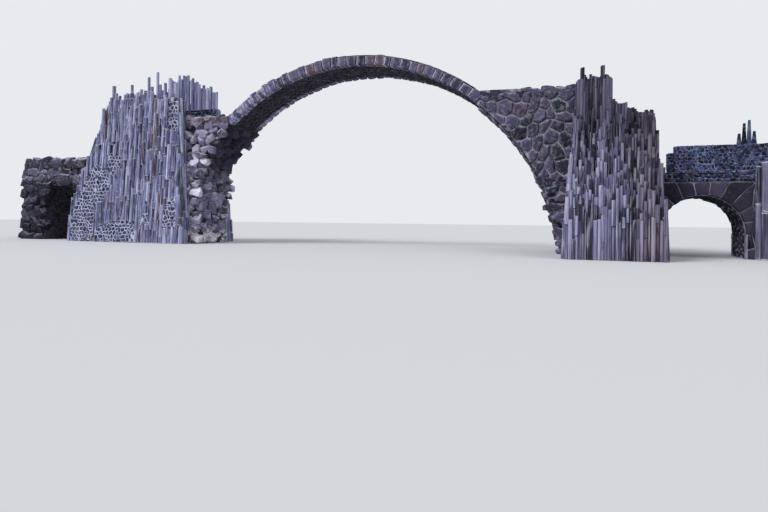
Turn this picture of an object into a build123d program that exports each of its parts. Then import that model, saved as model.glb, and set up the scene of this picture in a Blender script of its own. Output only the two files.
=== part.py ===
from build123d import *
import math
import os
import random

# Moon bridge of basalt: one round arch whose centre lies just below the water line, so that arch
# and reflection close to a circle, with clusters of upright basalt columns at both of its feet.
# Millimetres. X runs along the bridge, Y across it with the front at -Y, Z up from the water line.

# Arch
ARCH_RADIUS = 8000
ARCH_CENTRE_DEPTH = 1000
RING_DEPTH = 390
PAVING = 50
PAVING_ROWS = 24
BRIDGE_WIDTH = 2200
RING_STONE_REACH = 350
RING_STONE_LENGTH = 360
VAULT_PARTS = ("left", "crown", "right")
MORTAR_JOINT = 16

# Deck levels over the water, and the two stairs down to the wings
LEFT_DECK = 5330
RIGHT_DECK = 5570
LEFT_WING_DECK = 3000
RIGHT_WING_DECK = 2630
LEFT_STAIR_HEAD = 9000
RIGHT_STAIR_HEAD = 8350
LEFT_STEPS = 12
RIGHT_STEPS = 14
LEFT_GOING = 290
RIGHT_GOING = 210
STEP_BLOCK = 260

# Foot of the left abutment, which leaves the round of the arch and stands out into the water
LEFT_BATTER_TOP = 3400
LEFT_WAIST_X = 7150
LEFT_WAIST_Z = 900
LEFT_FOOT_X = 6900

# Left clusters: a battered core behind a face of stacked columns
LEFT_CLUSTER_INNER = 7300
LEFT_CLUSTER_OUTER = 13600
LEFT_SHOULDER_X = 13450
LEFT_SHOULDER_Z = 1800
LEFT_CLUSTER_TOP_INNER = 7700
LEFT_CLUSTER_TOP_OUTER = 11650
LEFT_CLUSTER_TOP = 6250
LEFT_CLUSTER_DEPTH = 700
LEFT_CLUSTER_TOP_DEPTH = 260
LEFT_CROWN_RISE = 350
LEFT_PIPE_RADIUS = 80
LEFT_PIPE_HEIGHTS = (780, 450, 410, 770, 540, 450, 1030, 600, 1200, 650, 720, 900, 670)
PALISADE_PITCH = 145
PALISADE_INNER_RISE = 950
PALISADE_PEAK_RISE = 1920
PALISADE_PEAK_PLACE = 9660
PALISADE_OUTER_RISE = 600

# Right clusters: a stepped bastion whose rows of columns rise towards the arch
RIGHT_CLUSTER_INNER = 8150
RIGHT_CLUSTER_OUTER = 10850
RIGHT_CLUSTER_LEAN = 280
RIGHT_CLUSTER_DEPTH = 2700
RIGHT_CLUSTER_ROWS = 8
RIGHT_FIRST_ROW_TOP = 1150
RIGHT_LAST_ROW_TOP = 4200
RIGHT_CREST_INNER = 5750
RIGHT_CREST_STEP = 9450
RIGHT_CREST_DROP = 4950
RIGHT_CREST_OUTER = 4350
RIGHT_CREST_THICKNESS = 260
RIGHT_POST_PLACES = (8560, 9180)
RIGHT_POST_TOP = 6170
RIGHT_POST_RADIUS = 80

# Basalt columns
COLUMN_WIDTHS = (120, 170)
COLUMN_PROUD = (75, 115)
COLUMN_LENGTHS = (900, 2300)
COLUMN_JOINT = 14
COLUMN_OVERTOP = (-60, 260)
ROW_OVERTOP = (-60, 520)

# Wings
WING_FACING = 300
LEFT_END = 17500
RIGHT_END = 17500
LEFT_WING_START = 13350
RIGHT_WING_START = 10400
LEFT_GROTTO_CENTRE = 14850
LEFT_GROTTO_RADIUS = 1120
LEFT_GROTTO_SPRING = 1540
LEFT_GROTTO_RING = 270
LEFT_GROTTO_STONES = 9
RIGHT_ARCH_CENTRE = 12100
RIGHT_ARCH_RADIUS = 1200
RIGHT_ARCH_SPRING = 750
RIGHT_ARCH_RING = 400
RIGHT_ARCH_STONES = 11
RIGHT_LEVEL_STONES = 5
RIGHT_PARAPET_HEIGHT = 870
PARAPET_THICKNESS = 350
LEFT_BOULDER_HEIGHTS = (760, 980)
LEFT_BOULDER_WIDTHS = (380, 620)
END_COLUMNS_START = 13500
END_COLUMNS_LENGTH = 2000
END_COLUMNS_TOP = 2900
SPIRES_START = 13090
SPIRE_PITCH = 132
SPIRE_HEIGHTS = (330, 640, 730, 390)
SPIRE_RADIUS = 74
SPIRE_NARROWING = 0.75

HALF_WIDTH = BRIDGE_WIDTH / 2
EXTRADOS = ARCH_RADIUS + RING_DEPTH
PAVED_RADIUS = EXTRADOS + PAVING
LEFT_WAY = (LEFT_DECK, LEFT_WING_DECK, LEFT_STAIR_HEAD, LEFT_STEPS, LEFT_GOING)
RIGHT_WAY = (RIGHT_DECK, RIGHT_WING_DECK, RIGHT_STAIR_HEAD, RIGHT_STEPS, RIGHT_GOING)


def save(node, solids):
    """Write one node's solids as parts/NODE.step."""
    group = solids[0] if len(solids) == 1 else Compound(children=list(solids))
    export_step(group, os.path.join("parts", node + ".step"))


def mirrored(solids):
    """The same solids on the rear side of the bridge."""
    return [solid.mirror(Plane.XZ) for solid in solids]


def haunch_angle(deck):
    """Angle from the crown at which the paved extrados comes down to a deck level."""
    return math.degrees(math.acos((deck + ARCH_CENTRE_DEPTH) / PAVED_RADIUS))


def arch_point(radius, angle):
    """Point (x, z) on a circle about the arch's centre, the angle counted from the crown."""
    turn = math.radians(angle)
    return radius * math.sin(turn), radius * math.cos(turn) - ARCH_CENTRE_DEPTH


def across(outline, low_y, high_y):
    """Extrude a face drawn in X and Z from low_y to high_y across the bridge."""
    plane = Plane((0, low_y, 0), x_dir=(1, 0, 0), z_dir=(0, -1, 0))
    return extrude(plane * outline, high_y - low_y, dir=(0, 1, 0))


def polygon_across(points, low_y, high_y):
    """Extrude a polygon of (x, z) points across the bridge."""
    return across(Polygon(*points, align=None), low_y, high_y)


def arc_band(inner, outer, start, end):
    """The face between two circles about the arch's centre, from one angle to another."""
    corners = [arch_point(radius, angle) for radius in (inner, outer) for angle in (start, end)]
    inner_middle = arch_point(inner, (start + end) / 2)
    outer_middle = arch_point(outer, (start + end) / 2)
    edges = [
        ThreePointArc(corners[0], inner_middle, corners[1]),
        Line(corners[1], corners[3]),
        ThreePointArc(corners[3], outer_middle, corners[2]),
        Line(corners[2], corners[0]),
    ]
    return make_face(edges)


def half_hexagon_column(face, place, low, high, width, proud):
    """A column bedded in a face: its flat back on the face, three sides of a hexagon in front."""
    base = Plane(face.from_local_coords((place, low, 0)), x_dir=face.x_dir, z_dir=face.y_dir)
    outline = Polygon((-width / 2, 0), (-width / 4, -proud), (width / 4, -proud), (width / 2, 0), align=None)
    return extrude(base * outline, high - low, dir=face.y_dir)


def column_face(face, start, end, top_at, draw, low=0):
    """Files of stacked columns on a face, each file up to the height that top_at gives for it."""
    columns = []
    place = start
    while place < end - COLUMN_WIDTHS[0] / 2:
        width = min(draw.uniform(*COLUMN_WIDTHS), end - place)
        left, right = place, place + width
        top = min(top_at(left), top_at(right))
        bottom = low
        while top - bottom > COLUMN_LENGTHS[0] / 3:
            length = draw.uniform(*COLUMN_LENGTHS)
            if top - bottom - length < COLUMN_LENGTHS[0] / 2:
                length = top - bottom
            proud = draw.uniform(*COLUMN_PROUD)
            columns.append(
                half_hexagon_column(face, (left + right) / 2, bottom, bottom + length, width, proud)
            )
            bottom += length + COLUMN_JOINT
        place = right + COLUMN_JOINT
    return columns


# Arch: the vault between the faces, the ring stones of both faces and the paving on top

LEFT_ANGLE = -haunch_angle(LEFT_DECK)
RIGHT_ANGLE = haunch_angle(RIGHT_DECK)


def vault():
    """The rubble barrel of the arch in three lengths."""
    inner_width = HALF_WIDTH - RING_STONE_REACH
    step = (RIGHT_ANGLE - LEFT_ANGLE) / len(VAULT_PARTS)
    for i, part in enumerate(VAULT_PARTS):
        start = LEFT_ANGLE + i * step
        band = arc_band(ARCH_RADIUS, EXTRADOS, start, start + step)
        save("vault_" + part, [across(band, -inner_width, inner_width)])


def ring_stones():
    """The wedge-shaped stones of one face of the arch, of uneven lengths, with mortar joints."""
    draw = random.Random(3)
    middle = ARCH_RADIUS + RING_DEPTH / 2
    arc_length = math.radians(RIGHT_ANGLE - LEFT_ANGLE) * middle
    count = round(arc_length / RING_STONE_LENGTH)
    shares = [draw.uniform(0.75, 1.3) for _ in range(count)]
    joint = math.degrees(MORTAR_JOINT / middle)
    scale = (RIGHT_ANGLE - LEFT_ANGLE - joint * count) / sum(shares)
    stones = []
    angle = LEFT_ANGLE + joint / 2
    for share in shares:
        end = angle + share * scale
        corners = [
            arch_point(ARCH_RADIUS, angle),
            arch_point(ARCH_RADIUS, end),
            arch_point(EXTRADOS, end),
            arch_point(EXTRADOS, angle),
        ]
        stones.append(polygon_across(corners, -HALF_WIDTH, RING_STONE_REACH - HALF_WIDTH))
        angle = end + joint
    return stones


def arch_paving():
    """The rows of paving over the arch, each a flat slab that rests on the extrados."""
    step = (RIGHT_ANGLE - LEFT_ANGLE) / PAVING_ROWS
    joint = math.degrees(MORTAR_JOINT / PAVED_RADIUS) / 2
    bed = EXTRADOS / math.cos(math.radians(step / 2))
    rows = []
    for i in range(PAVING_ROWS):
        start, end = LEFT_ANGLE + i * step + joint, LEFT_ANGLE + (i + 1) * step - joint
        corners = [(bed, start), (bed, end), (PAVED_RADIUS, end), (PAVED_RADIUS, start)]
        points = [arch_point(radius, angle) for radius, angle in corners]
        rows.append(polygon_across(points, -HALF_WIDTH, HALF_WIDTH))
    return rows


def arch():
    """All nodes of the arch."""
    vault()
    stones = ring_stones()
    save("front_ring_stones", stones)
    save("rear_ring_stones", mirrored(stones))
    save("arch_paving", arch_paving())


# Abutments with the stairs on their backs


def masonry_top(near, far, deck, wing_deck, stair_head, steps, going):
    """Outline of the masonry under the paving and the stair, from far back to near."""
    stair_foot = stair_head + steps * going
    slope = (deck - wing_deck) / (steps * going)
    points = []
    if stair_foot < far:
        points += [(far, wing_deck - PAVING), (stair_foot, wing_deck - PAVING)]
        points.append((stair_foot, wing_deck - STEP_BLOCK))
    else:
        points.append((far, deck - STEP_BLOCK - (far - stair_head) * slope))
    if stair_head > near:
        points += [(stair_head, deck - STEP_BLOCK), (stair_head, deck - PAVING)]
        points.append((near, deck - PAVING))
    elif stair_foot > near:
        points.append((near, deck - STEP_BLOCK - (near - stair_head) * slope))
    else:
        points[-2:] = [(near, wing_deck - PAVING)]
    return points


def abutment(side, angle, way, outer, waist):
    """One abutment, from the arch out to the wing, its top sloping under the stair."""
    spring = math.sqrt(ARCH_RADIUS**2 - ARCH_CENTRE_DEPTH**2)
    haunch_in = arch_point(ARCH_RADIUS, angle)
    haunch_out = arch_point(EXTRADOS, angle)
    foot = waist if waist else [(spring, 0)]
    arc_end = foot[0]
    middle_angle = (angle + math.degrees(math.atan2(arc_end[0], arc_end[1] + ARCH_CENTRE_DEPTH))) / 2
    near = arch_point(PAVED_RADIUS, angle)[0]
    outline = [*foot, (outer, 0), *masonry_top(near, outer, *way), haunch_out, haunch_in]
    points = [(side * x, z) for x, z in outline]
    start = (side * haunch_in[0], haunch_in[1])
    middle = arch_point(ARCH_RADIUS, side * middle_angle)
    edges = [ThreePointArc(start, middle, points[0]), Polyline(*points)]
    return across(make_face(edges), -HALF_WIDTH, HALF_WIDTH)


def stair(side, deck, wing_deck, stair_head, steps, going):
    """Step blocks with level treads, each bedded on the slope of the abutment."""
    rise = (deck - wing_deck) / steps
    slope = rise / going
    blocks = []
    for i in range(steps):
        near = stair_head + i * going
        far = near + going - COLUMN_JOINT
        tread = deck - (i + 1) * rise
        bed = deck - STEP_BLOCK
        corners = [
            (side * near, bed - (near - stair_head) * slope),
            (side * far, bed - (far - stair_head) * slope),
            (side * far, tread),
            (side * near, tread),
        ]
        blocks.append(polygon_across(corners, -HALF_WIDTH, HALF_WIDTH))
    return blocks


def slab(side, near, far, top):
    """Level paving from one place along the bridge to another."""
    bed = top - PAVING
    corners = [(side * near, bed), (side * far, bed), (side * far, top), (side * near, top)]
    return polygon_across(corners, -HALF_WIDTH, HALF_WIDTH)


def paving(side, angle, way, end):
    """The level paving before the stair and the level paving beyond it."""
    deck, wing_deck, stair_head, steps, going = way
    near = arch_point(PAVED_RADIUS, angle)[0]
    landing = slab(side, near, stair_head, deck)
    return [landing, slab(side, stair_head + steps * going, end, wing_deck)]


def batter_foot():
    """The left foot's points: off the round of the arch, in to the waist and out to the water."""
    start = math.sqrt(ARCH_RADIUS**2 - (LEFT_BATTER_TOP + ARCH_CENTRE_DEPTH) ** 2)
    return [(start, LEFT_BATTER_TOP), (LEFT_WAIST_X, LEFT_WAIST_Z), (LEFT_FOOT_X, 0)]


def abutments():
    """All nodes of the abutments and the way over them."""
    save("left_abutment", [abutment(-1, -LEFT_ANGLE, LEFT_WAY, LEFT_WING_START, batter_foot())])
    save("right_abutment", [abutment(1, RIGHT_ANGLE, RIGHT_WAY, RIGHT_WING_START, None)])
    save("left_stair", stair(-1, *LEFT_WAY))
    save("right_stair", stair(1, *RIGHT_WAY))
    save("left_paving", paving(-1, -LEFT_ANGLE, LEFT_WAY, LEFT_END))
    save("right_paving", paving(1, RIGHT_ANGLE, RIGHT_WAY, RIGHT_END))


# Left clusters


LEFT_BATTER = LEFT_CLUSTER_DEPTH - LEFT_CLUSTER_TOP_DEPTH
LEFT_OUTLINE = (
    (LEFT_CLUSTER_INNER, 0),
    (LEFT_CLUSTER_OUTER, 0),
    (LEFT_SHOULDER_X, LEFT_SHOULDER_Z),
    (LEFT_CLUSTER_TOP_OUTER, LEFT_CLUSTER_TOP),
    (LEFT_CLUSTER_TOP_INNER, LEFT_CLUSTER_TOP),
)


def left_core():
    """The battered masonry core of the front left cluster, upright up to its shoulder."""
    outline = [(-x, z) for x, z in LEFT_OUTLINE]
    core = polygon_across(outline, -HALF_WIDTH - LEFT_CLUSTER_DEPTH, -HALF_WIDTH)
    return split(core, left_face(), keep=Keep.BOTTOM)


def left_face():
    """The battered front face, its X along the bridge and its Y up the batter."""
    origin = (0, -HALF_WIDTH - LEFT_CLUSTER_DEPTH, 0)
    return Plane(origin, x_dir=(1, 0, 0), z_dir=(0, -LEFT_CLUSTER_TOP, LEFT_BATTER))


def left_face_columns():
    """The columns on the front face of the left cluster."""
    draw = random.Random(11)
    slope = math.hypot(LEFT_CLUSTER_TOP, LEFT_BATTER) / LEFT_CLUSTER_TOP
    inner_run = LEFT_CLUSTER_TOP_INNER - LEFT_CLUSTER_INNER

    def top_at(x):
        if -x > LEFT_SHOULDER_X:
            rise = (LEFT_CLUSTER_OUTER + x) / (LEFT_CLUSTER_OUTER - LEFT_SHOULDER_X) * LEFT_SHOULDER_Z
        else:
            share = (LEFT_SHOULDER_X + x) / (LEFT_SHOULDER_X - LEFT_CLUSTER_TOP_OUTER)
            rise = LEFT_SHOULDER_Z + share * (LEFT_CLUSTER_TOP - LEFT_SHOULDER_Z)
        rise = min(rise, (-LEFT_CLUSTER_INNER - x) / inner_run * LEFT_CLUSTER_TOP)
        if rise >= LEFT_CLUSTER_TOP:
            rise = LEFT_CLUSTER_TOP + draw.uniform(0, LEFT_CROWN_RISE)
        return rise * slope

    return column_face(left_face(), -LEFT_CLUSTER_OUTER, -LEFT_CLUSTER_INNER, top_at, draw)


def left_reach(z):
    """How far the battered front face stands from the middle of the bridge at a height."""
    return HALF_WIDTH + LEFT_CLUSTER_DEPTH - LEFT_BATTER * z / LEFT_CLUSTER_TOP


def left_end_columns():
    """The columns on both ends of the left cluster, on the outer end below and above its shoulder."""
    draw = random.Random(12)
    inner_foot, outer_foot, shoulder, outer_top, inner_top = LEFT_OUTLINE
    columns = []
    for low, high, side in (
        (outer_foot, shoulder, -1),
        (shoulder, outer_top, -1),
        (inner_foot, inner_top, 1),
    ):
        run, rise = low[0] - high[0], high[1] - low[1]
        face = Plane((-low[0], 0, low[1]), x_dir=(0, side, 0), z_dir=(side * rise, 0, -side * run))
        near, far = left_reach(high[1]), left_reach(low[1])

        def top_at(place):
            return math.hypot(rise, run) * max(0, min(1, (far - abs(place)) / (far - near)))

        start, end = sorted((-side * HALF_WIDTH, -side * far))
        columns += column_face(face, start, end, top_at, draw)
    return columns


def pipe(x, height):
    """One free column that stands on the core like an organ pipe."""
    y = -HALF_WIDTH - LEFT_CLUSTER_TOP_DEPTH / 2
    outline = RegularPolygon(LEFT_PIPE_RADIUS, 6, rotation=30)
    return extrude(Plane((x, y, LEFT_CLUSTER_TOP)) * outline, height)


def left_pipes():
    """The free columns on the front cluster."""
    pitch = (LEFT_CLUSTER_TOP_OUTER - LEFT_CLUSTER_TOP_INNER) / len(LEFT_PIPE_HEIGHTS)
    places = [-LEFT_CLUSTER_TOP_OUTER + pitch * (i + 0.5) for i in range(len(LEFT_PIPE_HEIGHTS))]
    return [pipe(x, height) for x, height in zip(places, LEFT_PIPE_HEIGHTS)]


def palisade():
    """The close row of free columns on the rear cluster, highest in its middle."""
    draw = random.Random(14)
    pipes = []
    place = LEFT_CLUSTER_TOP_INNER + PALISADE_PITCH
    while place < LEFT_CLUSTER_TOP_OUTER - PALISADE_PITCH:
        if place < PALISADE_PEAK_PLACE:
            share = (place - LEFT_CLUSTER_TOP_INNER) / (PALISADE_PEAK_PLACE - LEFT_CLUSTER_TOP_INNER)
            height = PALISADE_INNER_RISE + (PALISADE_PEAK_RISE - PALISADE_INNER_RISE) * share
        else:
            share = (place - PALISADE_PEAK_PLACE) / (LEFT_CLUSTER_TOP_OUTER - PALISADE_PEAK_PLACE)
            height = PALISADE_PEAK_RISE + (PALISADE_OUTER_RISE - PALISADE_PEAK_RISE) * share
        pipes.append(pipe(-place, height * draw.uniform(0.86, 1)))
        place += PALISADE_PITCH
    return mirrored(pipes)


def left_clusters():
    """All nodes of the left clusters, the rear one mirrored from the front one but for its palisade."""
    pieces = {
        "core": [left_core()],
        "face_columns": left_face_columns(),
        "end_columns": left_end_columns(),
    }
    for name, solids in pieces.items():
        save("left_front_" + name, solids)
        save("left_rear_" + name, mirrored(solids))
    save("left_front_pipes", left_pipes())
    save("left_rear_pipes", palisade())


# Right clusters


def row_front(row):
    """How far a row of the bastion stands out from the side of the bridge."""
    tread = (RIGHT_CLUSTER_DEPTH - RIGHT_CREST_THICKNESS) / RIGHT_CLUSTER_ROWS
    return RIGHT_CLUSTER_DEPTH - row * tread


def row_top(row):
    """Height of the core behind a row of the bastion."""
    rise = (RIGHT_LAST_ROW_TOP - RIGHT_FIRST_ROW_TOP) / (RIGHT_CLUSTER_ROWS - 1)
    return RIGHT_FIRST_ROW_TOP + row * rise


def crest_top(x):
    """Height of the bastion's crest: level near the arch, then falling with the stair behind it."""
    if x <= RIGHT_CREST_STEP:
        return RIGHT_CREST_INNER
    share = (x - RIGHT_CREST_STEP) / (RIGHT_CLUSTER_OUTER - RIGHT_CREST_STEP)
    return RIGHT_CREST_DROP + (RIGHT_CREST_OUTER - RIGHT_CREST_DROP) * share


def flank_x(side, z):
    """X of the bastion's inner (-1) or outer (1) flank at a height: both lean inwards."""
    lean = RIGHT_CLUSTER_LEAN * z / RIGHT_CREST_INNER
    return RIGHT_CLUSTER_INNER + lean if side < 0 else RIGHT_CLUSTER_OUTER - lean


def right_core():
    """The stepped masonry core of the front right cluster, with leaning flanks."""
    profile = [(-HALF_WIDTH, 0), (-HALF_WIDTH - row_front(0), 0)]
    for row in range(RIGHT_CLUSTER_ROWS):
        profile.append((-HALF_WIDTH - row_front(row), row_top(row)))
        profile.append((-HALF_WIDTH - row_front(row + 1), row_top(row)))
    profile.append((-HALF_WIDTH, row_top(RIGHT_CLUSTER_ROWS - 1)))
    plane = Plane((RIGHT_CLUSTER_INNER, 0, 0), x_dir=(0, 1, 0), z_dir=(1, 0, 0))
    length = RIGHT_CLUSTER_OUTER - RIGHT_CLUSTER_INNER
    core = extrude(plane * Polygon(*profile, align=None), length, dir=(1, 0, 0))
    for side in (-1, 1):
        z_dir = (side * RIGHT_CREST_INNER, 0, RIGHT_CLUSTER_LEAN)
        flank = Plane((flank_x(side, 0), 0, 0), x_dir=(0, 1, 0), z_dir=z_dir)
        core = split(core, flank, keep=Keep.BOTTOM)
    return core


def right_crest():
    """The parapet of the bastion along the stair, between its leaning flanks."""
    low = RIGHT_LAST_ROW_TOP
    near_y = -HALF_WIDTH
    far_y = -HALF_WIDTH - RIGHT_CREST_THICKNESS
    inner_low, outer_low = flank_x(-1, low), flank_x(1, low)
    inner_high, outer_high = flank_x(-1, RIGHT_CREST_INNER), flank_x(1, RIGHT_CREST_OUTER)
    corners = [
        (inner_low, low),
        (outer_low, low),
        (outer_high, RIGHT_CREST_OUTER),
        (RIGHT_CREST_STEP, RIGHT_CREST_DROP),
        (RIGHT_CREST_STEP, RIGHT_CREST_INNER),
        (inner_high, RIGHT_CREST_INNER),
    ]
    return polygon_across(corners, far_y, near_y)


def right_row_columns(row):
    """The columns in front of one row of the bastion."""
    draw = random.Random(20 + row)
    y = -HALF_WIDTH - row_front(row)
    face = Plane((0, y, 0), x_dir=(1, 0, 0), z_dir=(0, -1, 0))
    low = 0 if row == 0 else row_top(row - 1)
    crest = row == RIGHT_CLUSTER_ROWS

    def top_at(x):
        if crest:
            return crest_top(x) + draw.uniform(*COLUMN_OVERTOP) - low
        return row_top(row) + draw.uniform(*ROW_OVERTOP) - low

    high = RIGHT_CREST_INNER if crest else row_top(row)
    start, end = flank_x(-1, high), flank_x(1, high)
    columns = []
    for column in column_face(face, start, end, top_at, draw):
        columns.append(column.moved(Location((0, 0, low))))
    return columns


def right_flank_columns(side):
    """The columns on one leaning flank of the bastion."""
    draw = random.Random(40 + side)
    slant = math.hypot(1, RIGHT_CLUSTER_LEAN / RIGHT_CREST_INNER)
    face = Plane(
        (flank_x(side, 0), 0, 0),
        x_dir=(0, side, 0),
        z_dir=(side * RIGHT_CREST_INNER, 0, RIGHT_CLUSTER_LEAN),
    )
    near, far = HALF_WIDTH, HALF_WIDTH + RIGHT_CLUSTER_DEPTH

    def top_at(place):
        reach = abs(place) - HALF_WIDTH
        crest = RIGHT_CREST_INNER if side < 0 else RIGHT_CREST_OUTER
        top = crest if reach <= RIGHT_CREST_THICKNESS else 0
        for row in range(RIGHT_CLUSTER_ROWS):
            if reach <= row_front(row):
                top = max(top, row_top(row))
        return top * slant

    start, end = (near, far) if side < 0 else (-far, -near)
    return column_face(face, start, end, top_at, draw)


def right_posts():
    """The short posts that stand on the crest."""
    y = -HALF_WIDTH - RIGHT_CREST_THICKNESS / 2
    outline = RegularPolygon(RIGHT_POST_RADIUS, 6, rotation=30)
    height = RIGHT_POST_TOP - RIGHT_CREST_INNER
    return [extrude(Plane((x, y, RIGHT_CREST_INNER)) * outline, height) for x in RIGHT_POST_PLACES]


def right_clusters():
    """All nodes of the right clusters, the rear one mirrored from the front one."""
    rows = [right_row_columns(row) for row in range(RIGHT_CLUSTER_ROWS + 1)]
    half = (RIGHT_CLUSTER_ROWS + 1) // 2
    pieces = {
        "core": [right_core()],
        "crest": [right_crest()],
        "low_columns": sum(rows[:half], []),
        "high_columns": sum(rows[half:], right_posts()),
        "flank_columns": right_flank_columns(-1) + right_flank_columns(1),
    }
    for name, solids in pieces.items():
        save("right_front_" + name, solids)
        save("right_rear_" + name, mirrored(solids))


# Wings


def arched_wall(outline, centre, radius, spring, low_y, high_y):
    """A wall along the bridge with a round-headed opening down to its foot."""
    wall = polygon_across(outline, low_y, high_y)
    jamb = [(centre - radius, 0), (centre + radius, 0), (centre + radius, spring), (centre - radius, spring)]
    head = Pos(centre, spring) * Circle(radius)
    opening = Polygon(*jamb, align=None) + head
    return wall - across(opening, low_y, high_y)


def head_joints(centre, radius, spring, ring, count, level_count):
    """The joints round the head of a side arch, inner and outer end, the middle ones up to one level."""
    joints = []
    for i in range(count + 1):
        turn = math.pi * i / count
        upright = abs(i - count / 2) <= level_count / 2
        reach = (radius + ring) / math.sin(turn) if upright else radius + ring
        ends = [(centre + r * math.cos(turn), spring + r * math.sin(turn)) for r in (radius, reach)]
        joints.append(ends)
    return joints


def side_arch_stones(joints):
    """The stones between the joints round the head of a side arch on the front face."""
    stones = []
    for (inner, outer), (next_inner, next_outer) in zip(joints, joints[1:]):
        stone = make_face(Polyline(inner, outer, next_outer, next_inner, close=True))
        stone = offset(stone, -MORTAR_JOINT / 2, kind=Kind.INTERSECTION)
        stones.append(across(stone, -HALF_WIDTH, WING_FACING - HALF_WIDTH))
    return stones


def wing(name, side, near, far, way, centre, radius, spring, ring, count, level_count):
    """One wing: a core and two facings, each with the side arch, and the stones round its head."""
    outline = [(side * x, z) for x, z in [(near, 0), (far, 0), *masonry_top(near, far, *way)]]
    inner = HALF_WIDTH - WING_FACING
    core = arched_wall(outline, side * centre, radius, spring, -inner, inner)
    joints = head_joints(side * centre, radius, spring, ring, count, level_count)
    head = [outer for inside, outer in joints]
    doorway = [(side * centre - radius, 0), (side * centre + radius, 0)]
    doorway += [(side * centre + radius, spring), (side * centre - radius, spring)]
    facing = polygon_across(outline, -HALF_WIDTH, -inner)
    for space in (head, doorway):
        facing = facing - polygon_across(space, -HALF_WIDTH, -inner)
    stones = side_arch_stones(joints)
    save(name + "_wing_core", [core])
    save(name + "_wing_front_facing", facing.solids())
    save(name + "_wing_rear_facing", mirrored(facing.solids()))
    save(name + "_wing_arch_stones", stones + mirrored(stones))


def boulders():
    """The row of rough boulders that edges the left wing."""
    draw = random.Random(7)
    blocks = []
    place = LEFT_CLUSTER_OUTER + LEFT_BOULDER_WIDTHS[0] / 2
    while place < LEFT_END - LEFT_BOULDER_WIDTHS[0]:
        width = min(draw.uniform(*LEFT_BOULDER_WIDTHS), LEFT_END - place)
        height = draw.uniform(*LEFT_BOULDER_HEIGHTS)
        shrink = draw.uniform(0.1, 0.25) * width
        corners = [
            (-place, LEFT_WING_DECK),
            (-place - width, LEFT_WING_DECK),
            (-place - width + shrink / 3, LEFT_WING_DECK + height * 0.7),
            (-place - width + shrink, LEFT_WING_DECK + height),
            (-place - shrink, LEFT_WING_DECK + height),
            (-place - shrink / 3, LEFT_WING_DECK + height * 0.6),
        ]
        blocks.append(polygon_across(corners, -HALF_WIDTH, PARAPET_THICKNESS - HALF_WIDTH))
        place += width + MORTAR_JOINT
    return blocks


def end_columns():
    """The columns before the far end of the right wing."""
    draw = random.Random(51)
    face = Plane((0, -HALF_WIDTH, 0), x_dir=(1, 0, 0), z_dir=(0, -1, 0))

    def top_at(x):
        return END_COLUMNS_TOP + draw.uniform(*COLUMN_OVERTOP)

    return column_face(face, END_COLUMNS_START, END_COLUMNS_START + END_COLUMNS_LENGTH, top_at, draw)


def spires():
    """Pointed columns on top of the front right parapet."""
    y = -HALF_WIDTH + PARAPET_THICKNESS / 2
    foot = RIGHT_WING_DECK + RIGHT_PARAPET_HEIGHT
    points = []
    for i, height in enumerate(SPIRE_HEIGHTS):
        x = SPIRES_START + SPIRE_PITCH * i
        outline = RegularPolygon(SPIRE_RADIUS, 6, rotation=30)
        taper = math.degrees(math.atan(SPIRE_NARROWING * SPIRE_RADIUS / height))
        points.append(extrude(Plane((x, y, foot)) * outline, height, taper=taper))
    return points


def wings():
    """All nodes of the wings."""
    grotto = (LEFT_GROTTO_CENTRE, LEFT_GROTTO_RADIUS, LEFT_GROTTO_SPRING, LEFT_GROTTO_RING)
    doorway = (RIGHT_ARCH_CENTRE, RIGHT_ARCH_RADIUS, RIGHT_ARCH_SPRING, RIGHT_ARCH_RING)
    left_head = (*grotto, LEFT_GROTTO_STONES, 0)
    right_head = (*doorway, RIGHT_ARCH_STONES, RIGHT_LEVEL_STONES)
    wing("left", -1, LEFT_WING_START, LEFT_END, LEFT_WAY, *left_head)
    wing("right", 1, RIGHT_WING_START, RIGHT_END, RIGHT_WAY, *right_head)
    blocks = boulders()
    save("left_boulders", blocks + mirrored(blocks))
    foot, top = RIGHT_WING_DECK, RIGHT_WING_DECK + RIGHT_PARAPET_HEIGHT
    near = RIGHT_STAIR_HEAD + RIGHT_STEPS * RIGHT_GOING
    corners = [(near, foot), (RIGHT_END, foot), (RIGHT_END, top), (near, top)]
    parapet = [polygon_across(corners, -HALF_WIDTH, PARAPET_THICKNESS - HALF_WIDTH)]
    columns = end_columns()
    save("right_parapets", parapet + mirrored(parapet))
    save("right_end_columns", columns + mirrored(columns))
    save("right_spires", spires())


os.makedirs("parts", exist_ok=True)
arch()
abutments()
left_clusters()
right_clusters()
wings()
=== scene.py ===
"""Finish of a moon bridge of basalt: columns, rubble, ring stones, mortar and paving."""

import logging
import math
from collections.abc import Callable, Iterator
from contextlib import contextmanager
from dataclasses import dataclass
from enum import Enum
from functools import partial

import bpy
import numpy as np
from mathutils import Matrix, Vector, noise


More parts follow.
